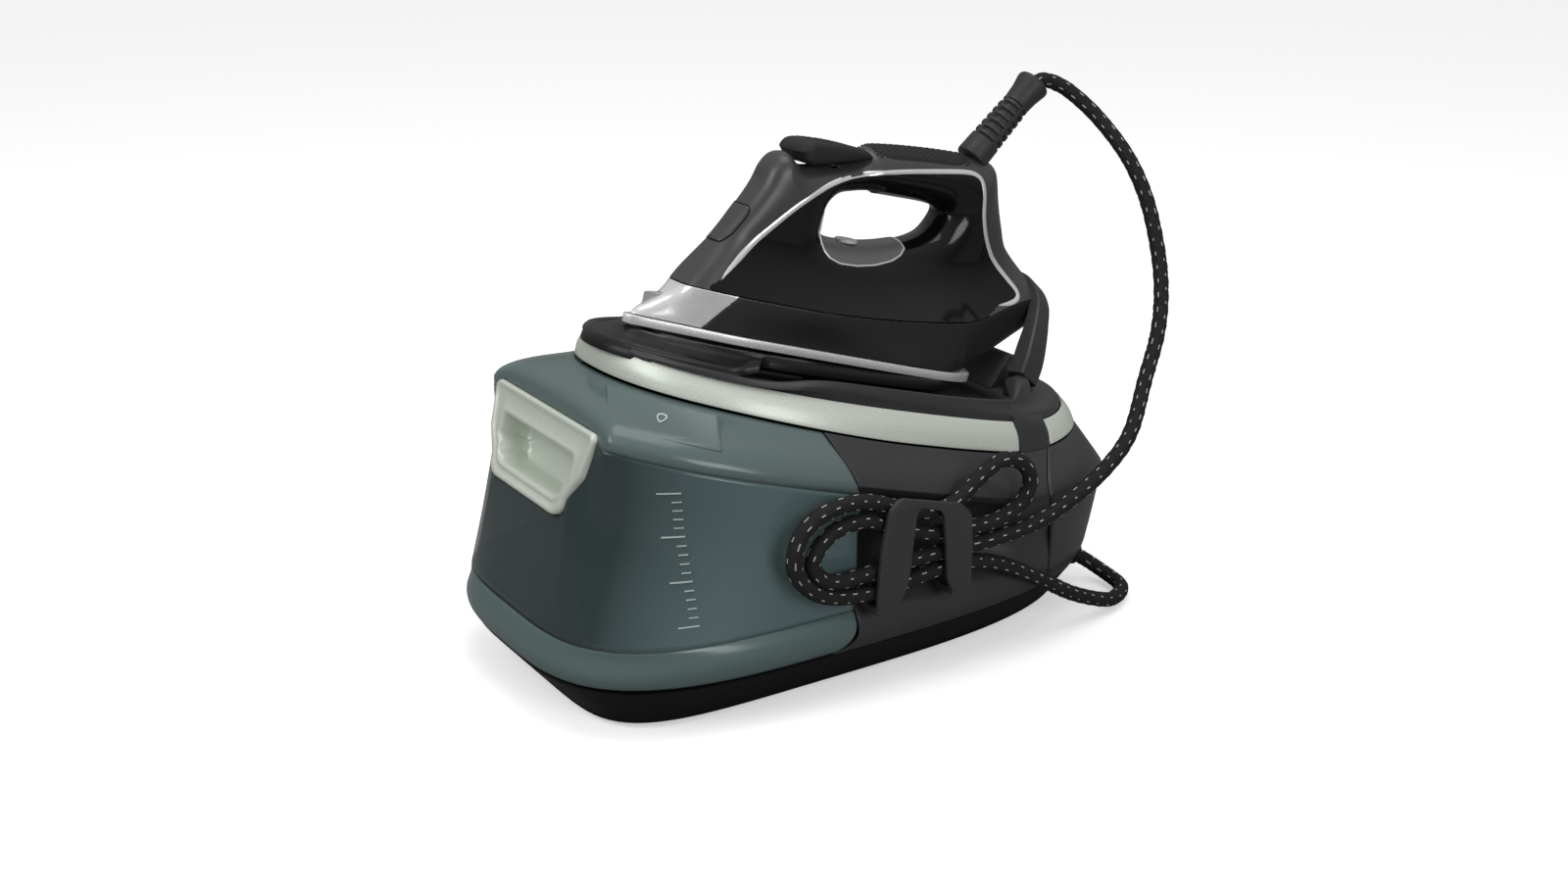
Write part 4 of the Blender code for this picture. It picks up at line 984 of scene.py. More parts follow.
def build_rest():
    """The heat-resistant rest: a silicone pad with a rolled rim at the front and ridges across it."""
    rim_level = Level(82, 20, -148, 100, 2.1, 2.5, 0.0)
    body_level = Level(66, -20, -100, 112, 2.5, 4.0, 0.0)
    rim = rim_level.front(-78, 60)[:, :2]
    body = [tuple(p) for p in body_level.front(1e3, 120)[:, :2]]
    right = [p for p in body if p[1] > -60 and p[0] > 0.5]
    plan = [tuple(p) for p in rim] + [(76, -73), (70, -71)] + right + [(0.0, 112.0)]
    plan += [(-x, y) for x, y in reversed(right)] + [(-70, -71), (-76, -73)]
    ring = resample(plan, 260)
    ring[:, 1] = (ring[:, 1] - TIP[1]) / math.cos(TILT)
    centre = np.array([0.0, 118.0])
    out = ring - centre
    out /= np.linalg.norm(out, axis=1)[:, None]
    front = smoothstep(-ring[:, 1], -58, -40)[:, None]
    profile = (
        (-1.2, -8.3), (0.0, -7.6), (0.0, -5.0), (-0.6, -3.0), (-2.2, -1.4), (-4.0, -0.9), (-6.0, -1.4),
        (-7.5, -2.6), (-11.0, -3.4), (-14.0, -2.9), (-16.0, -3.4), (-20.0, -3.4), (-22.0, -2.6),
        (-26.0, -2.6), (-28.0, -3.4), (-34.0, -3.4), (-36.0, -2.6), (-40.0, -2.6), (-42.0, -3.4),
    )
    rows = []
    for move, v in profile:
        at = ring + out * move
        level = np.full(len(ring), v)
        level -= front[:, 0] * max(0.0, 1.0 + move / 24.0) * 11.0
        rows.append(np.stack([at[:, 0], at[:, 1], level], 1))
    faces = tube_faces(len(rows), len(ring))
    new_object(
        "rest_pad", np.vstack(rows), faces, SILICONE, "base", replaces=["iron_rest"], slot="silicone",
        iron=True,
    )
    build_rest_neck()


def build_rest_neck():
    """The collar that carries the rim, between the deck's front wall and the rest's underside."""
    level = Level(76, 20, -128, 100, 2.6, 2.5, 0.0)
    rows = []
    for shrink, above in ((-1.0, -25.0), (2.0, -20.0), (3.2, -14.0), (1.0, -9.5)):
        row = level.moved(shrink=shrink).front(-40, 60)
        row[:, 2] = rest_plane(row[:, 1], above)
        rows.append(row)
    casing("rest_neck", rows, BLACK, wall=1.6, edge=0, slot="black_plastic")


HOOP_PIVOT = np.array([0.0, 150.0, 170.0])
HOOP_RUN = 43.0
HOOP_RISE = 45.0


def build_hoop():
    """A broad arch with a raised border and round edges, on two pins."""
    half = [(63, -1, -5), (60, 6, 4), (54, 15, 15), (46, 25, 26), (34, 36, 37), (14, HOOP_RUN, HOOP_RISE)]
    path = spline(half + [(-x, y, z) for x, y, z in reversed(half)], count=120) + HOOP_PIVOT
    tangent = np.gradient(path, axis=0)
    tangent /= np.linalg.norm(tangent, axis=1)[:, None]
    lean = HOOP_RUN / math.hypot(HOOP_RUN, HOOP_RISE)
    across = np.array([0.0, math.sqrt(1 - lean**2), -lean])
    normal = np.cross(tangent, across)
    normal /= np.linalg.norm(normal, axis=1)[:, None]
    ring = [
        (-7.5, -3.0), (-6.5, -4.0), (6.5, -4.0), (7.5, -3.0), (7.5, 3.4), (6.3, 4.6), (5.0, 4.6), (4.5, 4.1),
        (-4.5, 4.1), (-5.0, 4.6), (-6.3, 4.6), (-7.5, 3.4),
    ]
    reach = np.minimum(np.linspace(0, 1, len(path)), np.linspace(1, 0, len(path)))
    foot = 1 - smoothstep(reach, 0.05, 0.30)
    verts = [
        p + across * w * (1 + 0.3 * f) + n * t * (1.1 + 0.6 * f)
        for p, n, f in zip(path, normal, foot)
        for w, t in ring
    ]
    faces = tube_faces(len(path), len(ring))
    hoop = new_object(
        "hoop_arch", verts, faces, DARK, "hoop", replaces=["heel_hoop"], slot="dark_grey_plastic", smooth=30,
    )
    bevel(hoop, 0.35)
    for side, word in ((1, "right"), (-1, "left")):
        pin = [(0.1, 0), (3.0, 0), (3.0, 6.6), (2.2, 7.6), (0.1, 7.6)]
        turned(
            f"hoop_pin_{word}", pin, HOOP_PIVOT + [side * 57.5, 2, 0], (-side, 0, 0), STEEL, "hoop",
            segments=32,
            slot="polished_steel",
        )
        low, high = sorted((side * 48.5, side * 53.6))
        outline = [(144, 150), (160, 149), (160, 169)]
        outline += [
            (152 + 8 * math.cos(a), 169 + 6 * math.sin(a)) for a in np.linspace(0.1, math.pi - 0.1, 12)
        ]
        outline += [(144, 169)]
        lug = prism(
            f"lug_{word}", outline, low, high, DARK, "base", edge=0.8, replaces=[f"hoop_lug_{word}"],
            slot="black_plastic",
        )
        bore = tube_solid("lug_bore", [(side * 45, 152, 170), (side * 58, 152, 170)], 3.3, 32)
        cut_mesh(lug, bore)


def prism(name, outline, low, high, material, body, edge=0.5, count=0, iron=False, **links):
    """An outline in Y and Z, extruded along X, with small round edges."""
    ring = np.array(outline, float) if not count else resample(outline, count)
    n = len(ring)
    verts = [(x, y, z) for x in (low, high) for y, z in ring]
    obj = new_object(name, verts, tube_faces(2, n), material, body, iron=iron, smooth=35, **links)
    if edge:
        bevel(obj, edge, 3, 40)
    return obj


def tube_solid(name, path, radius, sides):
    """Verts and faces of a closed round bar along a path."""
    path = np.asarray(path, float)
    verts = frame_rings(path, sides, lambda s, a: np.full(a.shape, radius))[0]
    return name, verts, tube_faces(len(path), sides)


def cut_mesh(obj, solid):
    name, verts, faces = solid
    body = obj.parent.name[len("body:") :]
    graph = bpy.context.evaluated_depsgraph_get()
    obj.data = bpy.data.meshes.new_from_object(obj.evaluated_get(graph))
    obj.modifiers.clear()
    cut(obj, new_object(name, verts, faces, SEAM_DARK, body, smooth=0))
    obj.data.shade_smooth()
    obj.data.set_sharp_from_angle(angle=math.radians(35))


def frame_rings(path, sides, radius):
    """Rings of points round a path, with no twist, and the frames that they stand in."""
    tangent = np.gradient(path, axis=0)
    tangent /= np.linalg.norm(tangent, axis=1)[:, None]
    seed = np.array([0.0, 0.0, 1.0]) if abs(tangent[0][2]) < 0.9 else np.array([0.0, 1.0, 0.0])
    normal = np.cross(tangent[0], seed)
    normals = []
    for t in tangent:
        normal = normal - t * float(np.dot(normal, t))
        normal /= np.linalg.norm(normal)
        normals.append(normal.copy())
    normals = np.array(normals)
    binormals = np.cross(tangent, normals)
    along = np.concatenate([[0], np.cumsum(np.linalg.norm(np.diff(path, axis=0), axis=1))])
    a = np.linspace(0, 2 * math.pi, sides, endpoint=False)
    r = radius(along[:, None] + 0 * a, a[None, :] + 0 * along[:, None])
    out = normals[:, None, :] * np.cos(a)[None, :, None] + binormals[:, None, :] * np.sin(a)[None, :, None]
    verts = path[:, None, :] + out * r[:, :, None]
    return verts.reshape(-1, 3), tangent, normals, binormals


def build_console():
    profile = [
        (139.6, 153.2), (139.2, 153.9), (155.4, 173.5), (156.4, 174), (162.6, 174), (163, 173.4), (163, 153),
    ]
    panel = prism(
        "console_shell", profile, -40, 40, CONSOLE, "base", edge=2.6, replaces=["control_panel"],
        slot="dark_grey_plastic",
    )
    slope = math.atan2(21, 17)
    out = np.array((0, -math.sin(slope), math.cos(slope)))
    centre = np.array((0, 147.5, 163.5))
    for word, x, mark in (("power_button", -30, 1), ("boost_button", -8, 0)):
        base = centre + [x, 0, 0]
        cut_mesh(panel, tube_solid(word + "_pocket", [base - out * 4, base + out * 4], 6.9, 48))
        dish = [
            (0.1, -2), (6.3, -2), (6.5, -1.6), (6.5, 1.4), (6.1, 2.0), (5.2, 2.05), (4.6, 1.75), (0.1, 1.55),
        ]
        turned(f"{word}_cap", dish, base, out, SILVER, word, replaces=[word], slot="silver_trim")
        ring = [(3.0, 1.62), (3.5, 1.64), (3.5, 1.75), (3.0, 1.73)]
        turned(
            f"{word}_mark", ring, base, out, WHITE if mark else SEAM_DARK, word, segments=40,
            slot="black_plastic",
        )


CLIP_X = 146.0


def build_clips():
    """On each side an arch that stands off the wall on two feet; the hose or the cord is wound behind it."""
    arch = [
        (-33, 66), (-32.5, 90), (-31, 108), (-25, 134), (-17, 139.5), (31, 126), (39, 118), (41, 96),
        (41, 66), (26, 66), (21.5, 76), (17, 121), (14, 124.8), (-1, 129.6), (-4.2, 127), (-8.5, 90),
        (-10, 78), (-17, 66),
    ]
    for side, word in ((1, "right"), (-1, "left")):
        ring = rounded(arch, 3.0, 150)
        tangent = np.roll(ring, -1, axis=0) - np.roll(ring, 1, axis=0)
        tangent /= np.linalg.norm(tangent, axis=1)[:, None]
        inward = np.stack([tangent[:, 1], -tangent[:, 0]], 1)
        verts = []
        for inset, x in ((0.7, 0.0), (0.15, 0.3), (0.0, 0.8), (0.0, 2.4), (0.2, 2.9), (0.8, 3.2)):
            at = ring + inward * inset
            bow = 0.9 * smoothstep(at[:, 1], 66, 100)
            verts += [(side * (CLIP_X - 0.9 + x + b), y, z) for (y, z), b in zip(at, bow)]
        faces = tube_faces(6, len(ring))
        new_object(
            f"clip_arch_{word}", verts, faces, DARK, "base", replaces=[f"cord_clip_{word}"],
            slot="dark_grey_plastic",
            smooth=35,
        )
        low, high = sorted((side * 124.8, side * (CLIP_X + 0.4)))
        for place, y0, y1 in (("front", -32, -18), ("rear", 27, 40)):
            foot = [(y0, 62), (y1, 62), (y1, 67.5), (y0, 67.5)]
            prism(
                f"clip_foot_{place}_{word}", foot, low, high, DARK,
                "base", edge=1.2, slot="dark_grey_plastic",
            )


def rounded(points, radius, count):
    """A closed outline with its corners rounded, resampled evenly."""
    pts = np.array(points, float)
    out = []
    for a, b, c in zip(np.roll(pts, 1, 0), pts, np.roll(pts, -1, 0)):
        to_a, to_c = (a - b) / np.linalg.norm(a - b), (c - b) / np.linalg.norm(c - b)
        reach = min(radius, np.linalg.norm(a - b) * 0.45, np.linalg.norm(c - b) * 0.45)
        start, end = b + to_a * reach, b + to_c * reach
        for t in np.linspace(0, 1, 7):
            out.append((1 - t) ** 2 * start + 2 * t * (1 - t) * b + t**2 * end)
    return resample(out, count)


# ---------------------------------------------------------------- hoses and cord


def hose_path():
    """From the rear outlet along the ground, wound twice behind the clip, up and over into the boot."""
    return [
        (56.9, 190, 29), (58, 196, 26), (62, 211, 18), (78, 221, 9), (100, 219, 6), (114, 202, 7),
        (120, 184, 11), (125, 150, 26), (130, 115, 47), (137, 70, 72), (138, 35, 80), (138, -5, 77),
        (139, -45, 77), (140, -74, 86), (140, -90, 105), (140, -86, 126), (140, -68, 138), (139, -40, 139),
        (138, -10, 128), (138, 14, 121), (138, 33, 123), (139, 50, 135), (140, 68, 145), (140, 86, 140),
        (140, 94, 126), (139, 87, 111), (138, 68, 103), (138, 40, 103), (138, 14, 106), (138, -12, 114),
        (139, -38, 126), (140, -64, 123), (140, -77, 107), (140, -66, 92), (139, -42, 89.5), (138, -8, 91),
        (138, 30, 91), (139, 64, 91), (140, 100, 95), (139, 130, 104), (137, 162, 119), (131, 189, 138),
        (113, 217, 166), (102, 237, 195), (90, 249, 223), (76, 255, 252), (62, 255, 282), (45, 251, 308),
        (22, 243, 332), (8, 229, 349), (2, 218, 356), (0, 208, 358), (0, 199, 354), (0, 190, 346.5),
        (0, 184, 341.2),
    ]


HOSE_RADIUS = 5.0
BRAID_PITCH = 15.0
CARRIERS = 12
YARN_RELIEF = 0.26
DASH_RELIEF = 0.42


def build_hose():
    """One braided hose: crossing yarns in relief, with white yarns surfacing in short dashes."""
    radius, sides, step = HOSE_RADIUS, 48, 0.9
    path = spline(hose_path(), step=step)

    def weave(s, a):
        left = np.cos(CARRIERS * a / 2 + 2 * math.pi * s / BRAID_PITCH * CARRIERS / 4)
        right = np.cos(CARRIERS * a / 2 - 2 * math.pi * s / BRAID_PITCH * CARRIERS / 4)
        return radius + YARN_RELIEF * np.maximum(left, right)

    verts = frame_rings(path, sides, weave)[0]
    count = len(path)
    faces = tube_faces(count, sides)
    s = np.arange(count) * step
    marks = np.zeros((count, sides), bool)
    rows = 6
    for k in range(rows):
        column = int(round(k * sides / rows))
        on = ((s + 4.1 * k + 1.6 * np.sin(s / 17 + k)) % 11.0) < 3.8 + 0.8 * np.sin(s / 29 + 2 * k)
        for c in (column, column + 1):
            marks[:, c % sides] |= on
    lifted = verts.reshape(count, sides, 3)
    centre = path[:, None, :]
    away = lifted - centre
    away /= np.linalg.norm(away, axis=2)[:, :, None]
    lifted[marks] = (centre + away * (radius + DASH_RELIEF))[marks]
    hose = new_object(
        "braided_hose", lifted.reshape(-1, 3), faces, BRAID, "base",
        replaces=["steam_hose_lower", "steam_hose_upper"],
        slot="braid", smooth=60, materials=[BRAID, FLECK],
    )
    flags = np.zeros(len(hose.data.polygons), int)
    for poly in hose.data.polygons:
        ids = np.array(poly.vertices)
        if len(ids) == 4 and marks.reshape(-1)[ids].all():
            flags[poly.index] = 1
    hose.data.polygons.foreach_set("material_index", flags)
    hose.parent = None
    hose.matrix_world = Matrix.Identity(4)
    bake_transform(hose)


def cord_path():
    """The mains cord, from its own grommet, wound once behind the left-hand clip, to its plug."""
    return [
        (-58, 196, 26), (-62, 212, 17), (-76, 224, 8), (-98, 222, 5), (-113, 205, 6), (-120, 180, 12),
        (-126, 148, 28), (-131, 112, 50), (-137, 72, 74), (-138, 30, 82), (-138, -10, 80), (-139, -48, 80),
        (-140, -74, 90), (-140, -86, 106), (-140, -80, 124), (-140, -60, 134), (-139, -34, 132),
        (-138, 0, 122), (-138, 36, 118), (-139, 66, 120), (-139.1, 70, 120.1),
    ]


def build_cord():
    path = spline(cord_path(), step=2.0)
    name, verts, faces = tube_solid("mains_cord", path, 3.5, 20)
    new_object(name, verts, faces, RUBBER, "base", replaces=["power_cord"], slot="silicone", smooth=50)
    start, aim = np.array((-139.2, 67, 120)), np.array((-0.4, 41, 2.0))
    aim = aim / np.linalg.norm(aim)
    profile = [(3.7, 0.0), (4.6, 0.2), (5.0, 1.0)]
    for k in range(4):
        profile += [
            (5.4 + 0.4 * k, 2.5 + 3 * k), (5.4 + 0.4 * k, 3.8 + 3 * k), (4.9 + 0.4 * k, 4.1 + 3 * k),
            (4.9 + 0.4 * k, 5.2 + 3 * k),
        ]
    profile += [(7.6, 16), (8.6, 20), (8.6, 36), (8.0, 40), (6.6, 41), (0.1, 41)]
    profile = [(0.1, 8.0), (3.7, 8.0)] + profile
    turned(
        "plug_shell", profile, start, aim, BLACK, "base", replaces=["mains_plug"], slot="black_plastic",
        smooth=30,
    )
    for word, lift in (("upper", 4.5), ("lower", -4.5)):
        pin = [(0.1, 0), (1.95, 0), (1.95, 15.5), (1.5, 17.4), (0.1, 18.4)]
        turned(
            f"plug_pin_{word}", pin, start + aim * 40.2 + [0, 0, lift], aim, BRASS, "base", segments=24,
            slot="brass",
        )


def build_outlets():
    profile = [(5.8, 0), (9.4, 0), (10, 0.6), (10, 4.6), (9.4, 5.2), (8.4, 6.2), (8.4, 7)]
    for k in range(2):
        profile += [(7.6, 7.3 + 2.6 * k), (7.6, 8.3 + 2.6 * k), (8.4, 8.7 + 2.6 * k), (8.4, 9.7 + 2.6 * k)]
    profile += [(8.0, 14), (6.2, 14)]
    turned(
        "hose_outlet_boot", profile, (57.9, 196.4, 25.8), (4, 16, -8), RUBBER, "base",
        replaces=["hose_outlet"], slot="silicone", smooth=30,
    )
    slim = [(4.2 if r < 6.5 else r - 1.0 if r < 9 else r, d - 2 if d > 8 else d) for r, d in profile]
    turned(
        "cord_outlet_boot", slim, (-57.9, 196.4, 25.4), (-4, 16, -8), RUBBER, "base",
        replaces=["cord_grommet"], slot="silicone", smooth=30,
    )


# ---------------------------------------------------------------- iron: one smooth body, cut at its seams

SOLE_BOTTOM = -1.2
SOLE_TOP = 4.6
SOLE_EDGE = 0.5
VENT_RADIUS = 1.9
SKIRT_FOOT = 5.4
GRID = 1.25


def curve_of(points):
    """A smooth function through (position, value) pairs."""
    dense = spline([(a, b) for a, b in points], count=400)
    return lambda u: np.interp(u, dense[:, 0], dense[:, 1])


seam_height = curve_of(
    [(-20, 30), (60, 30), (120, 30.5), (160, 32.5), (201, 36), (246, 41), (277, 53), (300, 61), (325, 65)],
)
seam_width = curve_of(
    [
        (-10, 1), (10, 3.5), (20, 8.5), (30, 14.5), (42, 21), (60, 29.5), (90, 38), (120, 45), (160, 50),
        (201, 52), (230, 49), (246, 45), (277, 38), (300, 34), (325, 29),
    ],
)
sole_width = curve_of(
    [
        (-8, 0), (-3, 2), (5, 7), (30, 17), (50, 26), (69, 32.5), (115, 42), (162, 51), (200, 57), (225, 56),
        (245, 47), (279, 41), (301, 36), (325, 29),
    ],
)
web_width = curve_of(
    [
        (-20, 8), (20, 10), (45, 12), (66, 14.5), (84, 17), (110, 20), (150, 22), (240, 22), (262, 20.5),
        (290, 19), (325, 18),
    ],
)

HOLE_MARGIN = 8.0
OUTLINE = [
    (-8, -14), (-2.5, 4), (12, 15.5), (26, 26.5), (36, 41), (46, 57), (59, 79), (70.5, 100), (74.5, 113),
    (79, 121), (84.5, 124.5), (91, 123.6), (95.5, 120.5), (101, 119.2), (118, 124), (138, 129.6), (144, 135),
    (150, 140), (168, 143), (188, 145.2), (212, 147.2), (238, 148.4), (254, 148.2), (261, 145.5), (266, 138),
    (272, 124), (278, 109), (285, 96), (294, 87), (304, 78.5), (312, 70), (316.5, 61), (317, 50), (317, 20),
    (317, -14),
]
HOLE = [
    (112, 82), (114, 97), (122.5, 107.5), (135.5, 112), (151.5, 114.6), (176.5, 115.6), (204.5, 116),
    (218.5, 113.5), (225, 106), (223.5, 97), (216.5, 86), (205.5, 78.5), (189.5, 72.5), (169.5, 67.6),
    (147.5, 64.8), (127.5, 64.6), (116.5, 69), (112.1, 75),
]
ACCENT = [
    (49, 38), (52, 42.5), (63, 56), (80, 76), (96.5, 94), (112, 107), (123, 113.6), (134, 118.4), (152, 124),
    (173, 128.6), (200, 133.2), (226, 137), (236, 136.5), (241, 132.5), (244.5, 122), (247.5, 111),
    (252.5, 100), (259.5, 90), (269, 80), (279, 71.5), (286, 65), (286, 60), (279, 56), (268, 53),
]


class IronShape:
    """The iron's outer form: a side profile with the handle's hole, and a width that falls away upwards."""

    def __init__(self):
        self.low = np.array([-30.0, -30.0])
        self.step = 0.75
        u = self.low[0] + self.step * np.arange(490)
        v = self.low[1] + self.step * np.arange(260)
        uu, vv = np.meshgrid(u, v, indexing="ij")
        outer = spline(OUTLINE, step=3.0)
        hole = spline(HOLE, step=2.5, closed=True) + [5.0, 2.0]
        self.hole = polygon_distance(hole, uu, vv)
        self.side = np.maximum(polygon_distance(outer, uu, vv), -(self.hole + HOLE_MARGIN))
        rise = (vv - seam_height(uu)) / 38.0
        above = web_width(uu) + (seam_width(uu) - web_width(uu)) * np.clip(1 - rise, 0, 1) ** 1.7
        share = smoothstep(vv, SKIRT_FOOT, seam_height(uu))
        below = (sole_width(uu) - 1.2) * (1 - share) + seam_width(uu) * share
        self.width = np.where(rise > 0, above, below)
        high = smoothstep(vv, 28, 75)
        spine = 1 - smoothstep(uu, 70, 110)
        self.radius = 5.0 + high * (11.0 - 8.0 * spine) + 3.0 * smoothstep(vv, 100, 125) * (1 - spine)

    def sample(self, grid, u, v):
        return bilinear(grid, self.low, self.step, u, v)

    def value(self, x, u, v):
        side = self.sample(self.side, u, v)
        flank = np.abs(x) - self.sample(self.width, u, v)
        body = round_max(side, flank, self.sample(self.radius, u, v) * 1.6)
        heel = ((u - 243.0) * 42.0 - (v - SKIRT_FOOT) * 69.0) / 80.8
        body = round_max(body, heel, 5.0)
        slot = np.maximum.reduce([np.abs(x) - 8.2, np.abs(u - 143.0) - 21.0, np.abs(v - 113.0) - 9.0])
        return np.maximum(body, -slot)

    def field(self, points):
        return self.value(points[:, 0], points[:, 1], points[:, 2])

    def side_x(self, u, v):
        """Half-width of the surface at points of the side view."""
        return bisect(lambda x: self.value(x, u, v) < 0, np.zeros_like(u), np.full_like(u, 62.0), 26)[0]

    def height_below(self, x, u, start, depth=45.0):
        """The first height at which a straight drop from `start` meets the surface."""
        drop = np.linspace(0, depth, 180)
        v = start - drop[None, :] + 0 * x[:, None]
        inside = self.value(x[:, None] + 0 * v, u[:, None] + 0 * v, v) < 0
        first = inside.argmax(1)
        high, low = start - drop[np.maximum(first - 1, 0)], start - drop[first]
        return bisect(lambda at: self.value(x, u, at) < 0, low, high, 12)[0]

    def normal(self, points):
        step = np.eye(3) * 0.5
        grad = np.stack([self.field(points + s) - self.field(points - s) for s in step], 1)
        return grad / np.maximum(np.linalg.norm(grad, axis=1), 1e-6)[:, None]


def relax(verts, quads, rounds, share=0.5):
    """Evens out a net by moving each vertex towards the middle of its neighbours."""
    edges = np.vstack([quads[:, [0, 1]], quads[:, [1, 2]], quads[:, [2, 3]], quads[:, [3, 0]]])
    edges = np.vstack([edges, edges[:, ::-1]])
    count = np.bincount(edges[:, 0], minlength=len(verts))[:, None]
    for _ in range(rounds):
        total = np.stack(
            [np.bincount(edges[:, 0], weights=verts[edges[:, 1], k], minlength=len(verts)) for k in range(3)],
            1,
        )
        verts = verts + share * (total / np.maximum(count, 1) - verts)
    return verts


def net_of(field, low, high, cell, rounds=2, steps=3):
    """A quad net of the zero surface of field(points) inside a box."""
    low, high = np.array(low, float), np.array(high, float)
    axes = [np.arange(a, b + cell, cell) for a, b in zip(low, high)]
    grid = np.stack(np.meshgrid(*axes, indexing="ij"), -1)
    values = field(grid.reshape(-1, 3)).reshape(grid.shape[:3])
    verts, quads = surface_nets(values, low, cell)
    for _ in range(rounds):
        verts = relax(verts, quads, 1)
        verts = settle(verts, field, 1)
    return settle(verts, field, steps), quads


def sliced(work, axis, shift, keep, fill=False):
    """Cuts along the surface where a coordinate equals shift(other), keeping the side named by the sign."""
    other = 3 - axis
    for vert in work.verts:
        vert.co[axis] -= float(shift(vert.co[other]))
    normal = Vector((0, 0, 0))
    normal[axis] = -keep
    everything = work.verts[:] + work.edges[:] + work.faces[:]
    bmesh.ops.bisect_plane(
        work, geom=everything, dist=1e-5, plane_co=(0, 0, 0), plane_no=normal, clear_outer=True,
    )
    if fill:
        rim = [e for e in work.edges if e.is_boundary]
        made = bmesh.ops.edgeloop_fill(work, edges=rim)
        bmesh.ops.triangulate(work, faces=made["faces"])
    for vert in work.verts:
        vert.co[axis] += float(shift(vert.co[other]))
    return work


def net_mesh(verts, quads):
    work = bmesh.new()
    made = [work.verts.new(v) for v in verts]
    for quad in quads:
        ids = list(dict.fromkeys(int(i) for i in quad))
        if len(ids) > 2:
            work.faces.new([made[i] for i in ids])
    return work


def from_work(name, work, material, **links):
    work.verts.index_update()
    verts = np.array([v.co[:] for v in work.verts])
    faces = [tuple(v.index for v in f.verts) for f in work.faces]
    work.free()
    return new_object(name, verts, faces, material, "iron", iron=True, **links)


SEAM_GAP = 0.4
NOSE_SLANT = ((4.0, 41.0), (30.0, 60.0))


def nose_line(v):
    (v0, u0), (v1, u1) = NOSE_SLANT
    return u0 + (v - v0) * (u1 - u0) / (v1 - v0)


def build_iron_body(shape):
    verts, quads = net_of(shape.field, (-62, -10, 0), (62, 322, 154), GRID)
    whole = net_mesh(verts, quads)

    upper = whole.copy()
    sliced(upper, 2, lambda u: seam_height(u) + SEAM_GAP, 1, fill=True)
    body = from_work(
        "iron_upper", upper, GLOSS, replaces=["iron_body"], slot="gloss_black_plastic", smooth=45,
        materials=[GLOSS, SATIN],
    )
    polish_by_region(body)

    lower = whole.copy()
    sliced(lower, 2, lambda u: seam_height(u) - SEAM_GAP, -1)
    sliced(lower, 2, lambda u: SKIRT_FOOT, 1)
    nose = lower.copy()
    sliced(lower, 1, lambda v: nose_line(v) + SEAM_GAP, 1)
    sliced(nose, 1, lambda v: nose_line(v) - SEAM_GAP, -1)
    whole.free()
    skirt = from_work(
        "iron_skirt_shell", lower, SKIRT, replaces=["iron_skirt"], slot="dark_grey_plastic", smooth=45,
    )
    plate = from_work("nose_shell", nose, CHROME, replaces=["nose_plate"], slot="silver_trim", smooth=45)
    for obj, wall in ((skirt, 2.0), (plate, 0.9)):
        thicken(obj, wall, 0, outward=tuple(from_iron(np.array([[0, 140.0, 20.0]]))[0] + [0, SHIFT_Y, 0]))
        obj.modifiers["wall"].use_even_offset = False


def polish_by_region(body):
    """Gloss inside the silver line on each cheek, satin on the spine, the top and the rear."""
    line = spline(ACCENT, step=2.0)
    region = np.vstack([line, [(256, 44), (250, 20), (40, 20), (42, 33)]])
    c, s = math.cos(TILT), math.sin(TILT)
    centres = np.array([p.center[:] for p in body.data.polygons]) / MM - [0, SHIFT_Y, 0] - TIP
    u = centres[:, 1] * c - centres[:, 2] * s
    v = centres[:, 1] * s + centres[:, 2] * c
    outside = polygon_distance(region, u, v) > 0
    body.data.polygons.foreach_set("material_index", outside.astype(int))


def build_accents(shape):
    """The silver line: a raised ribbon on the cheek, pointed at the front and broader at the rear end."""
    line = spline(ACCENT, step=1.5)
    tangent = np.gradient(line, axis=0)
    tangent /= np.linalg.norm(tangent, axis=1)[:, None]
    across = np.stack([-tangent[:, 1], tangent[:, 0]], 1)
    s = np.linspace(0, 1, len(line))
    half = np.interp(
        s, [0, 0.02, 0.06, 0.2, 0.35, 0.75, 0.9, 0.97, 1], [0.3, 1.1, 1.9, 1.6, 1.4, 1.5, 1.7, 1.3, 0.3],
    )
    for side, word in ((1, "right"), (-1, "left")):
        rows = []
        for offset, lift in (
            (-1.0, -0.6), (-1.0, 0.25), (-0.45, 0.55), (0.45, 0.55), (1.0, 0.25), (1.0, -0.6),
        ):
            at = line + across * (half * offset)[:, None]
            x = shape.side_x(at[:, 0], at[:, 1])
            points = np.stack([x, at[:, 0], at[:, 1]], 1)
            points = points + shape.normal(points) * lift
            rows.append(points * [side, 1, 1])
        verts = np.stack(rows, 1).reshape(-1, 3)
        faces = tube_faces(len(line), 6)
        new_object(
            f"accent_line_{word}", verts, faces, SILVER, "iron", iron=True, replaces=[f"accent_strip_{word}"],
            slot="silver_trim", smooth=30,
        )


def skin_patch(name, x, u, v, lift, sink, material, body, **links):
    """A closed sheet over a grid of surface points: raised by lift on top, sunk by sink below."""
    top = np.stack([x, u, v + lift], -1).reshape(-1, 3)
    low = np.stack([x, u, v - sink], -1).reshape(-1, 3)
    return new_object(
        name, np.vstack([top, low]), sheet_faces(*x.shape)[0], material, body, iron=True, **links,
    )


GRIP_TOP = 158.0


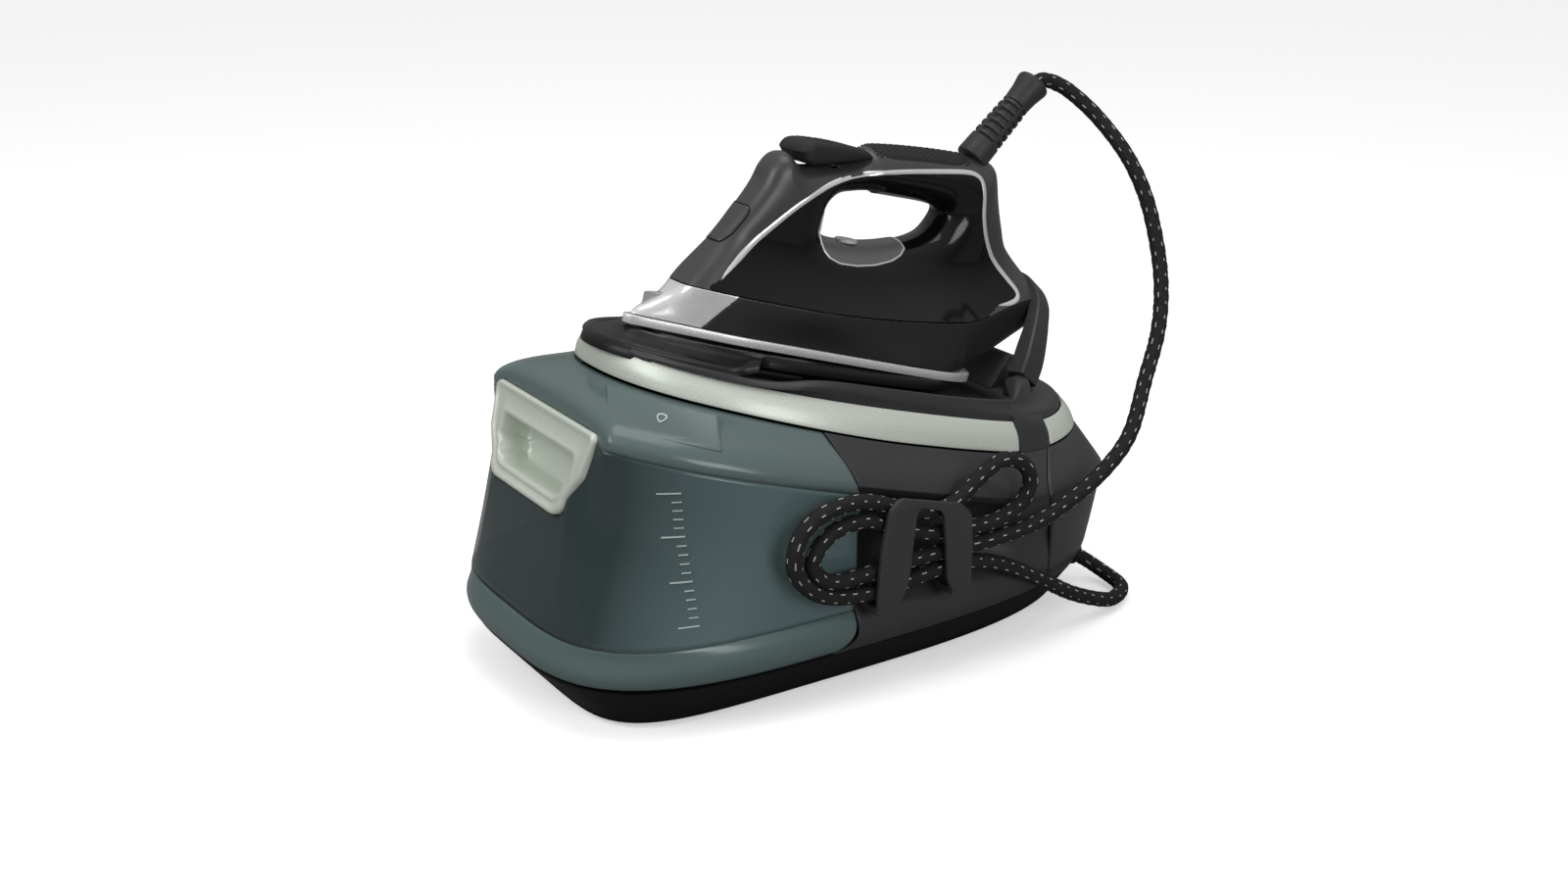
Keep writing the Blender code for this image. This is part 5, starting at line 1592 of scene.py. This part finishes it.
def build_grip(shape):
    """The rubber pad on top of the handle, with rows of small round studs."""
    u_line, width = np.linspace(150, 234, 70), 15.0
    ends = np.clip(1 - ((u_line - 192) / 42.5) ** 8, 0.02, 1)
    share = np.linspace(-1, 1, 31)
    x = share[None, :] * (width * ends)[:, None]
    u = u_line[:, None] + 0 * x
    v = shape.height_below(x.ravel(), u.ravel(), GRIP_TOP).reshape(x.shape)
    edge = np.clip((1 - np.abs(share)) * 8, 0, 1)[None, :] * np.clip(
        np.minimum(u_line - 150, 234 - u_line) / 2.0, 0, 1,
    )[:, None]
    skin_patch(
        "grip_rubber", x, u, v, 0.15 + 0.75 * edge, 1.2, GRIP, "iron", replaces=["grip_pad"], slot="silicone",
    )

    def top(a, b):
        return shape.height_below(a, b, GRIP_TOP) + 0.85

    studs("grip_studs", stud_layout(153, 232), 0.85, 0.55, "iron", top)


def stud_layout(start, end):
    """Staggered rows of (x, u) points along the handle."""
    across = np.arange(-12.6, 12.7, 2.8) - 0.7
    return [(x + 1.4 * (i % 2), u) for i, u in enumerate(np.arange(start, end, 2.6)) for x in across]


def studs(name, points, radius, height, body, base):
    a, b = np.array(points).T
    level = base(a, b)
    verts, faces = [], []
    for x, u, v in zip(a, b, level):
        start = len(verts)
        for r, h in ((1.0, -0.5), (1.0, 0.15), (0.6, height)):
            for k in range(8):
                turn = k * math.pi / 4
                verts.append((x + r * radius * math.cos(turn), u + r * radius * math.sin(turn), v + h))
        verts.append((x, u, v + height * 1.1))
        for r in range(2):
            for k in range(8):
                m = (k + 1) % 8
                faces.append(
                    (start + r * 8 + k, start + r * 8 + m, start + r * 8 + 8 + m, start + r * 8 + 8 + k),
                )
        faces += [(start + 16 + k, start + 16 + (k + 1) % 8, start + 24) for k in range(8)]
        faces.append(tuple(start + k for k in range(8)))
    return new_object(name, verts, faces, GRIP, body, iron=True, slot="silicone", smooth=60)


def build_control_pad(shape):
    """The pad at the foot of the hole: a glossy skin over the saddle with a chrome line round it."""
    u_line = np.linspace(122.5, 192.5, 80)
    wide = np.interp(
        u_line, [122, 124, 128, 136, 150, 165, 180, 188, 192], [15, 18, 20.5, 22.5, 23.0, 22.0, 19.5, 17, 14],
    )
    share = np.linspace(-1, 1, 41)
    x = share[None, :] * wide[:, None]
    u = u_line[:, None] + 0 * x
    v = shape.height_below(x.ravel(), u.ravel(), 92.0).reshape(x.shape)
    edge = np.clip((1 - np.abs(share)) * 12, 0, 1)[None, :] * np.clip(
        np.minimum(u_line - 122.5, 192.5 - u_line) / 1.5, 0, 1,
    )[:, None]
    top = v + 0.2 + 0.9 * edge
    skin_patch(
        "control_skin", x, u, v, 0.2 + 0.9 * edge, 1.5, PAD, "iron", replaces=["control_pad"],
        slot="gloss_black_plastic",
    )
    rim = [(x[0, c], u[0, c], top[0, c]) for c in range(41)]
    rim += [(x[r, 40], u[r, 40], top[r, 40]) for r in range(1, 80)]
    rim += [(x[79, c], u[79, c], top[79, c]) for c in range(39, -1, -1)]
    rim += [(x[r, 0], u[r, 0], top[r, 0]) for r in range(78, 0, -1)]
    path = resample(rim, 240)
    path = np.vstack([path, path[:1]])
    name, verts, faces = tube_solid("control_rim", path, 0.75, 10)
    new_object(name, verts, faces, SILVER, "iron", iron=True, slot="silver_trim", smooth=60)
    at = float(shape.height_below(np.array([4.0]), np.array([150.0]), 92.0)[0])
    cap = [(0.1, -0.6), (7.5, -0.6), (7.9, -0.2), (7.9, 1.4), (7.3, 2.1), (6.2, 2.3), (5.7, 2.0), (0.1, 2.2)]
    turned(
        "steam_button_cap", cap, (4, 150, at + 0.6), (0, -0.06, 1), PEARL, "pad_button", iron=True,
        replaces=["pad_button"], slot="silver_trim",
    )


LEVER = [
    (91, 126.4), (91.8, 129.6), (94, 132.4), (98, 134.4), (105, 135.6), (122, 136.8), (138, 136.8),
    (145.5, 135.6), (149.3, 133.4), (148.6, 131.8), (142, 130), (122, 125), (103, 120.2), (98.5, 120.6),
    (96, 121.6), (94, 124.2), (92.2, 125.8),
]


LEVER_TOP = 142.0


def build_lever():
    """The thumb lever: a saddle-shaped cap with a hooked lip at the front and studs on its back half."""
    u = np.arange(70, 160, 0.5)
    v = np.arange(110, 150, 0.5)
    uu, vv = np.meshgrid(u, v, indexing="ij")
    side = polygon_distance(spline(LEVER, step=1.2, closed=True), uu, vv)

    def field(points):
        profile = bilinear(side, (70, 110), 0.5, points[:, 1], points[:, 2])
        wide = 17.4 - 2.0 * smoothstep(points[:, 1], 122, 150) - 1.4 * (1 - smoothstep(points[:, 1], 91, 99))
        return round_max(profile, np.abs(points[:, 0]) - wide, 5.0)

    verts, quads = net_of(field, (-22, 84, 115), (22, 153, 142), 0.9)
    new_object(
        "thumb_cap", verts, quads, GRIP, "lever", iron=True, replaces=["thumb_lever"], slot="black_plastic",
        smooth=50,
    )
    drop = np.linspace(0, 12, 80)

    def top(x, u):
        column = np.stack(np.broadcast_arrays(x[:, None], u[:, None], LEVER_TOP - drop), -1)
        inside = field(column.reshape(-1, 3)).reshape(column.shape[:2]) < 0
        return LEVER_TOP - drop[inside.argmax(1)]

    studs("thumb_studs", stud_layout(104, 144), 0.8, 0.45, "lever", top)


def build_trigger():
    outline = [
        (125, 105.5), (129, 108.0), (160, 112.4), (162, 114.6), (161, 118.5), (156, 118.8), (128, 112.4),
        (124.4, 108.4),
    ]
    loop = spline(outline, step=1.0, closed=True)

    def field(points):
        profile = polygon_distance(loop, points[:, 1], points[:, 2])
        return round_max(profile, np.abs(points[:, 0]) - 7.2, 3.0)

    verts, quads = net_of(field, (-10, 120, 101), (10, 166, 123), 0.9, rounds=1, steps=1)
    new_object(
        "trigger_blade", verts, quads, BLACK, "trigger", iron=True, replaces=["steam_trigger"],
        slot="black_plastic", smooth=50,
    )


def build_nose_cover(shape):
    """The small cover on the spine above the nose, set in a thin dark joint."""
    v_line = np.linspace(60, 86, 40)
    wide = np.interp(v_line, [60, 62, 66, 80, 84, 86], [7.5, 9.0, 10.2, 11.0, 10.2, 8.5])
    share = np.linspace(-1, 1, 25)
    x = share[None, :] * wide[:, None]
    v = v_line[:, None] + 0 * x
    empty, solid = np.full(x.size, 10.0), np.full(x.size, 95.0)
    front = bisect(lambda u: shape.value(x.ravel(), u, v.ravel()) < 0, solid, empty, 24)[0]
    points = np.stack([x.ravel(), front, v.ravel()], 1)
    out = shape.normal(points)
    edge = np.clip((1 - np.abs(share)) * 10, 0, 1)[None, :] * np.clip(
        np.minimum(v_line - 60, 86 - v_line) / 1.2, 0, 1,
    )[:, None]
    top = points + out * (0.1 + 0.6 * edge).reshape(-1, 1)
    bottom = points - out * 1.2
    faces, rim = sheet_faces(*x.shape)
    new_object(
        "nose_lid", np.vstack([top, bottom]), faces, SATIN, "iron", iron=True, replaces=["nose_cover"],
        slot="dark_grey_plastic", smooth=35,
    )
    path = np.vstack([(points + out * 0.12)[rim], (points + out * 0.12)[rim[:1]]])
    name, verts, faces = tube_solid("nose_lid_joint", spline(path, step=1.2), 0.45, 8)
    new_object(name, verts, faces, SEAM_DARK, "iron", iron=True, slot="black_plastic")


BOOT_FOOT = np.array([0, 147.5, 309.2])
BOOT_AIM = np.array([0, 0.752, 0.66])
BOOT_LENGTH = 72.0
NOTCH_PITCH = 6.0
NOTCH_DEPTH = 2.2


def build_boot():
    """The strain relief: a plain foot, two columns of staggered notches and a flared end."""
    sides = 72
    along = np.linspace(0, BOOT_LENGTH, 150)
    outer = np.interp(
        along, [0, 1, 14, 45, 52, 61, 69, 71, 72], [11.2, 11.6, 11.2, 10.2, 9.6, 10.4, 12.0, 12.0, 11.4],
    )
    a = np.linspace(0, 2 * math.pi, sides, endpoint=False)
    aa, ss = np.meshgrid(a, along)
    lobe = np.round((aa - math.pi / 4) / (math.pi / 2)).astype(int) % 4
    turned_by = aa - math.pi / 4 - np.round((aa - math.pi / 4) / (math.pi / 2)) * (math.pi / 2)
    phase = (ss - 15.0) / NOTCH_PITCH + 0.5 * (lobe % 2)
    inside = smoothstep(np.abs(phase - np.floor(phase) - 0.5), 0.30, 0.20)
    across = smoothstep(np.abs(turned_by), 0.70, 0.62)
    zone = (ss > 14.5) * (ss < 50)
    radius = outer[:, None] - NOTCH_DEPTH * inside * across * zone
    aim = BOOT_AIM / np.linalg.norm(BOOT_AIM)
    side = np.array([1.0, 0, 0])
    up = np.cross(aim, side)
    ring = side[None, :] * np.cos(a)[:, None] + up[None, :] * np.sin(a)[:, None]
    verts = BOOT_FOOT + aim * along[:, None, None] + ring[None] * radius[:, :, None]
    inner = [BOOT_FOOT + aim * s + ring * r for s, r in ((72.0, 9.5), (71.0, 7.4), (60.0, 5.7))]
    rows = list(verts) + inner
    faces = tube_faces(len(rows), sides)
    new_object(
        "boot_sleeve", np.vstack(rows), faces, BOOT, "iron", replaces=["hose_boot"], slot="black_plastic",
        smooth=60,
    )


SOLE = [
    (0, -3), (6, 0), (15, 22), (24, 45), (33, 70), (42, 115), (50, 160), (56, 200), (57, 225), (50, 245),
    (30, 259),
]


def sole_ring(shrink=0.0):
    half = spline(SOLE, step=3.0)
    tangent = np.gradient(half, axis=0)
    tangent /= np.linalg.norm(tangent, axis=1)[:, None]
    half = half + np.stack([-tangent[:, 1], tangent[:, 0]], 1) * shrink
    half = half[half[:, 0] > 0.4]
    nose, tail = (0.0, half[0, 1] - 1.2), (0.0, half[-1, 1] + 0.8)
    return [nose] + [tuple(p) for p in half] + [tail] + [(-x, u) for x, u in half[::-1]]


def build_sole():
    """The soleplate: a polished plate with a bevelled edge and groups of steam vents."""
    curve = bpy.data.curves.new("sole", "CURVE")
    curve.dimensions = "2D"
    curve.fill_mode = "BOTH"
    curve.extrude = ((SOLE_TOP - SOLE_BOTTOM) / 2 - SOLE_EDGE) * MM
    curve.bevel_depth = SOLE_EDGE * MM
    curve.bevel_resolution = 2
    rings = [sole_ring(SOLE_EDGE)]
    turns = np.linspace(0, 2 * math.pi, 14, endpoint=False)
    vents = []
    for k in range(16):
        u = 22 + 13.2 * k
        wide = float(np.interp(u, [22, 60, 120, 220], [5, 20, 33, 44]))
        vents += [(wide, u), (-wide, u)]
        if k % 2 == 0 and k > 1:
            vents += [(wide * 0.55, u + 6), (-wide * 0.55, u + 6)]
    for x, u in vents:
        rings.append([(x + VENT_RADIUS * math.cos(a), u + VENT_RADIUS * math.sin(a)) for a in turns])
    for points in rings:
        line = curve.splines.new("POLY")
        line.points.add(len(points) - 1)
        for point, (x, u) in zip(line.points, points):
            point.co = (x * MM, u * MM, 0, 1)
        line.use_cyclic_u = True
    made = bpy.data.objects.new("sole_curve", curve)
    bpy.context.scene.collection.objects.link(made)
    mesh = bpy.data.meshes.new_from_object(made.evaluated_get(bpy.context.evaluated_depsgraph_get()))
    verts = np.array([v.co[:] for v in mesh.vertices]) / MM + [0, 0, (SOLE_BOTTOM + SOLE_TOP) / 2]
    faces = [tuple(p.vertices) for p in mesh.polygons]
    bpy.data.objects.remove(made)
    new_object(
        "sole_plate", verts, faces, STEEL, "iron", iron=True, replaces=["soleplate"], slot="polished_steel",
        smooth=35,
    )


# ---------------------------------------------------------------- run


def dress_kept_nodes():
    """Finishes for the working parts inside, which keep their shapes."""
    for name, material, slot in (
        ("boiler", CAST, "cast_aluminium"),
        ("boiler_cradle", CAST, "cast_aluminium"),
        ("heater_casting", CAST, "cast_aluminium"),
        ("steam_valve", BRASS, "brass"),
        ("thermostat", BRASS, "brass"),
        ("pump", BLACK, "black_plastic"),
        ("transformer", CAST, "black_plastic"),
        ("control_board", BOARD, "circuit_board"),
        ("tank_socket", BLACK, "black_plastic"),
        ("feed_tube", RUBBER, "silicone"),
        ("steam_tube", RUBBER, "silicone"),
        ("suction_tube", RUBBER, "silicone"),
    ):
        obj = frame["nodes"][name]
        obj.data.materials.clear()
        obj.data.materials.append(material)


def area_light(name, place, aim, size, power):
    data = bpy.data.lights.new(name, "AREA")
    data.size = size
    data.energy = power
    obj = bpy.data.objects.new(name, data)
    bpy.context.scene.collection.objects.link(obj)
    obj.location = place
    obj.rotation_euler = (Vector(aim) - Vector(place)).to_track_quat("-Z", "Y").to_euler()


def split_by_camera(tree, others, camera, output):
    """Sends one shader to the camera and another to every other ray."""
    seen = node(tree, "ShaderNodeLightPath")
    either = node(tree, "ShaderNodeMixShader")
    for source, entry in ((seen.outputs["Is Camera Ray"], 0), (others, 1), (camera, 2)):
        tree.links.new(source, either.inputs[entry])
    tree.links.new(either.outputs["Shader"], tree.nodes[output].inputs["Surface"])


def build_stage():
    """A pale floor that runs into a white backdrop, lit from large soft panels."""
    floor_mesh = bpy.data.meshes.new("floor")
    reach = FLOOR_REACH
    floor_mesh.from_pydata(
        [(-reach, -reach, 0), (reach, -reach, 0), (reach, reach, 0), (-reach, reach, 0)], [], [(0, 1, 2, 3)],
    )
    floor = bpy.data.objects.new("floor", floor_mesh)
    bpy.context.scene.collection.objects.link(floor)
    paper = bpy.data.materials.new("paper")
    paper.use_nodes = True
    white = (1, 1, 1, 1)
    sheet = paper.node_tree
    shader = sheet.nodes["Principled BSDF"]
    fill(shader, Base_Color=PAPER, Roughness=0.9, Emission_Color=white, Emission_Strength=FLOOR_GLOW)
    dim = node(sheet, "ShaderNodeBsdfDiffuse", Color=(FLOOR_BOUNCE, FLOOR_BOUNCE, FLOOR_BOUNCE, 1))
    split_by_camera(sheet, dim.outputs["BSDF"], shader.outputs["BSDF"], "Material Output")
    floor_mesh.materials.append(paper)
    world = bpy.data.worlds.new("studio")
    bpy.context.scene.world = world
    world.use_nodes = True
    tree = world.node_tree
    link = tree.links.new
    room = tree.nodes["Background"]
    place = node(tree, "ShaderNodeTexCoord")
    split = node(tree, "ShaderNodeSeparateXYZ")
    level = node(tree, "ShaderNodeMapRange", To_Min=ROOM_LIGHT[0], To_Max=ROOM_LIGHT[1])
    link(place.outputs["Generated"], split.inputs["Vector"])
    link(split.outputs["Z"], level.inputs["Value"])
    link(level.outputs["Result"], room.inputs["Strength"])
    room.inputs["Color"].default_value = white
    backdrop = node(tree, "ShaderNodeBackground", Strength=1.0, Color=white)
    split_by_camera(tree, room.outputs["Background"], backdrop.outputs["Background"], "World Output")
    for light in LIGHTS:
        area_light(*light)
    bpy.context.scene.view_settings.view_transform = "Standard"


LIGHTS = (
    # name, place, aim, size, power
    ("key", (0.2, -1.8, 1.5), (0, 0, 0.15), 1.1, 15),
    ("side", (2.2, 0.0, 0.9), (0, 0, 0.15), 0.9, 13),
    ("top", (0.1, 0.1, 2.2), (0, 0, 0.1), 1.3, 12),
)
FLOOR_REACH = 6.0
PAPER = (0.90, 0.90, 0.90, 1)
FLOOR_GLOW = 0.45
FLOOR_BOUNCE = 0.30
ROOM_LIGHT = (0.16, 0.62)  # at the horizon and overhead
AZIMUTH = math.radians(57.0)
ELEVATION = math.radians(19.6)
DISTANCE = 1.30
LENS = 43.65
LOOK_AT = (0, -0.007 + SHIFT_Y * MM, 0.131)


def build_camera():
    level = math.cos(ELEVATION)
    back = Vector((math.sin(AZIMUTH) * level, -math.cos(AZIMUTH) * level, math.sin(ELEVATION)))
    data = bpy.data.cameras.new("camera")
    data.sensor_width = 36
    data.lens = LENS
    obj = bpy.data.objects.new("camera", data)
    bpy.context.scene.collection.objects.link(obj)
    obj.location = Vector(LOOK_AT) + back * DISTANCE
    obj.rotation_euler = (-back).to_track_quat("-Z", "Y").to_euler()
    bpy.context.scene.camera = obj


for build in (
    build_pan, build_sides, build_rear_cover, build_bands, build_deck, build_tank, build_tank_handle,
    build_flap,
    build_core, build_rest, build_hoop, build_console, build_clips, build_hose, build_cord, build_outlets,
):
    build()
iron_shape = IronShape()
for build in (build_iron_body, build_accents, build_grip, build_control_pad, build_nose_cover):
    build(iron_shape)
for build in (
    build_lever, build_trigger, build_boot, build_sole, dress_kept_nodes, build_stage, build_camera,
):
    build()
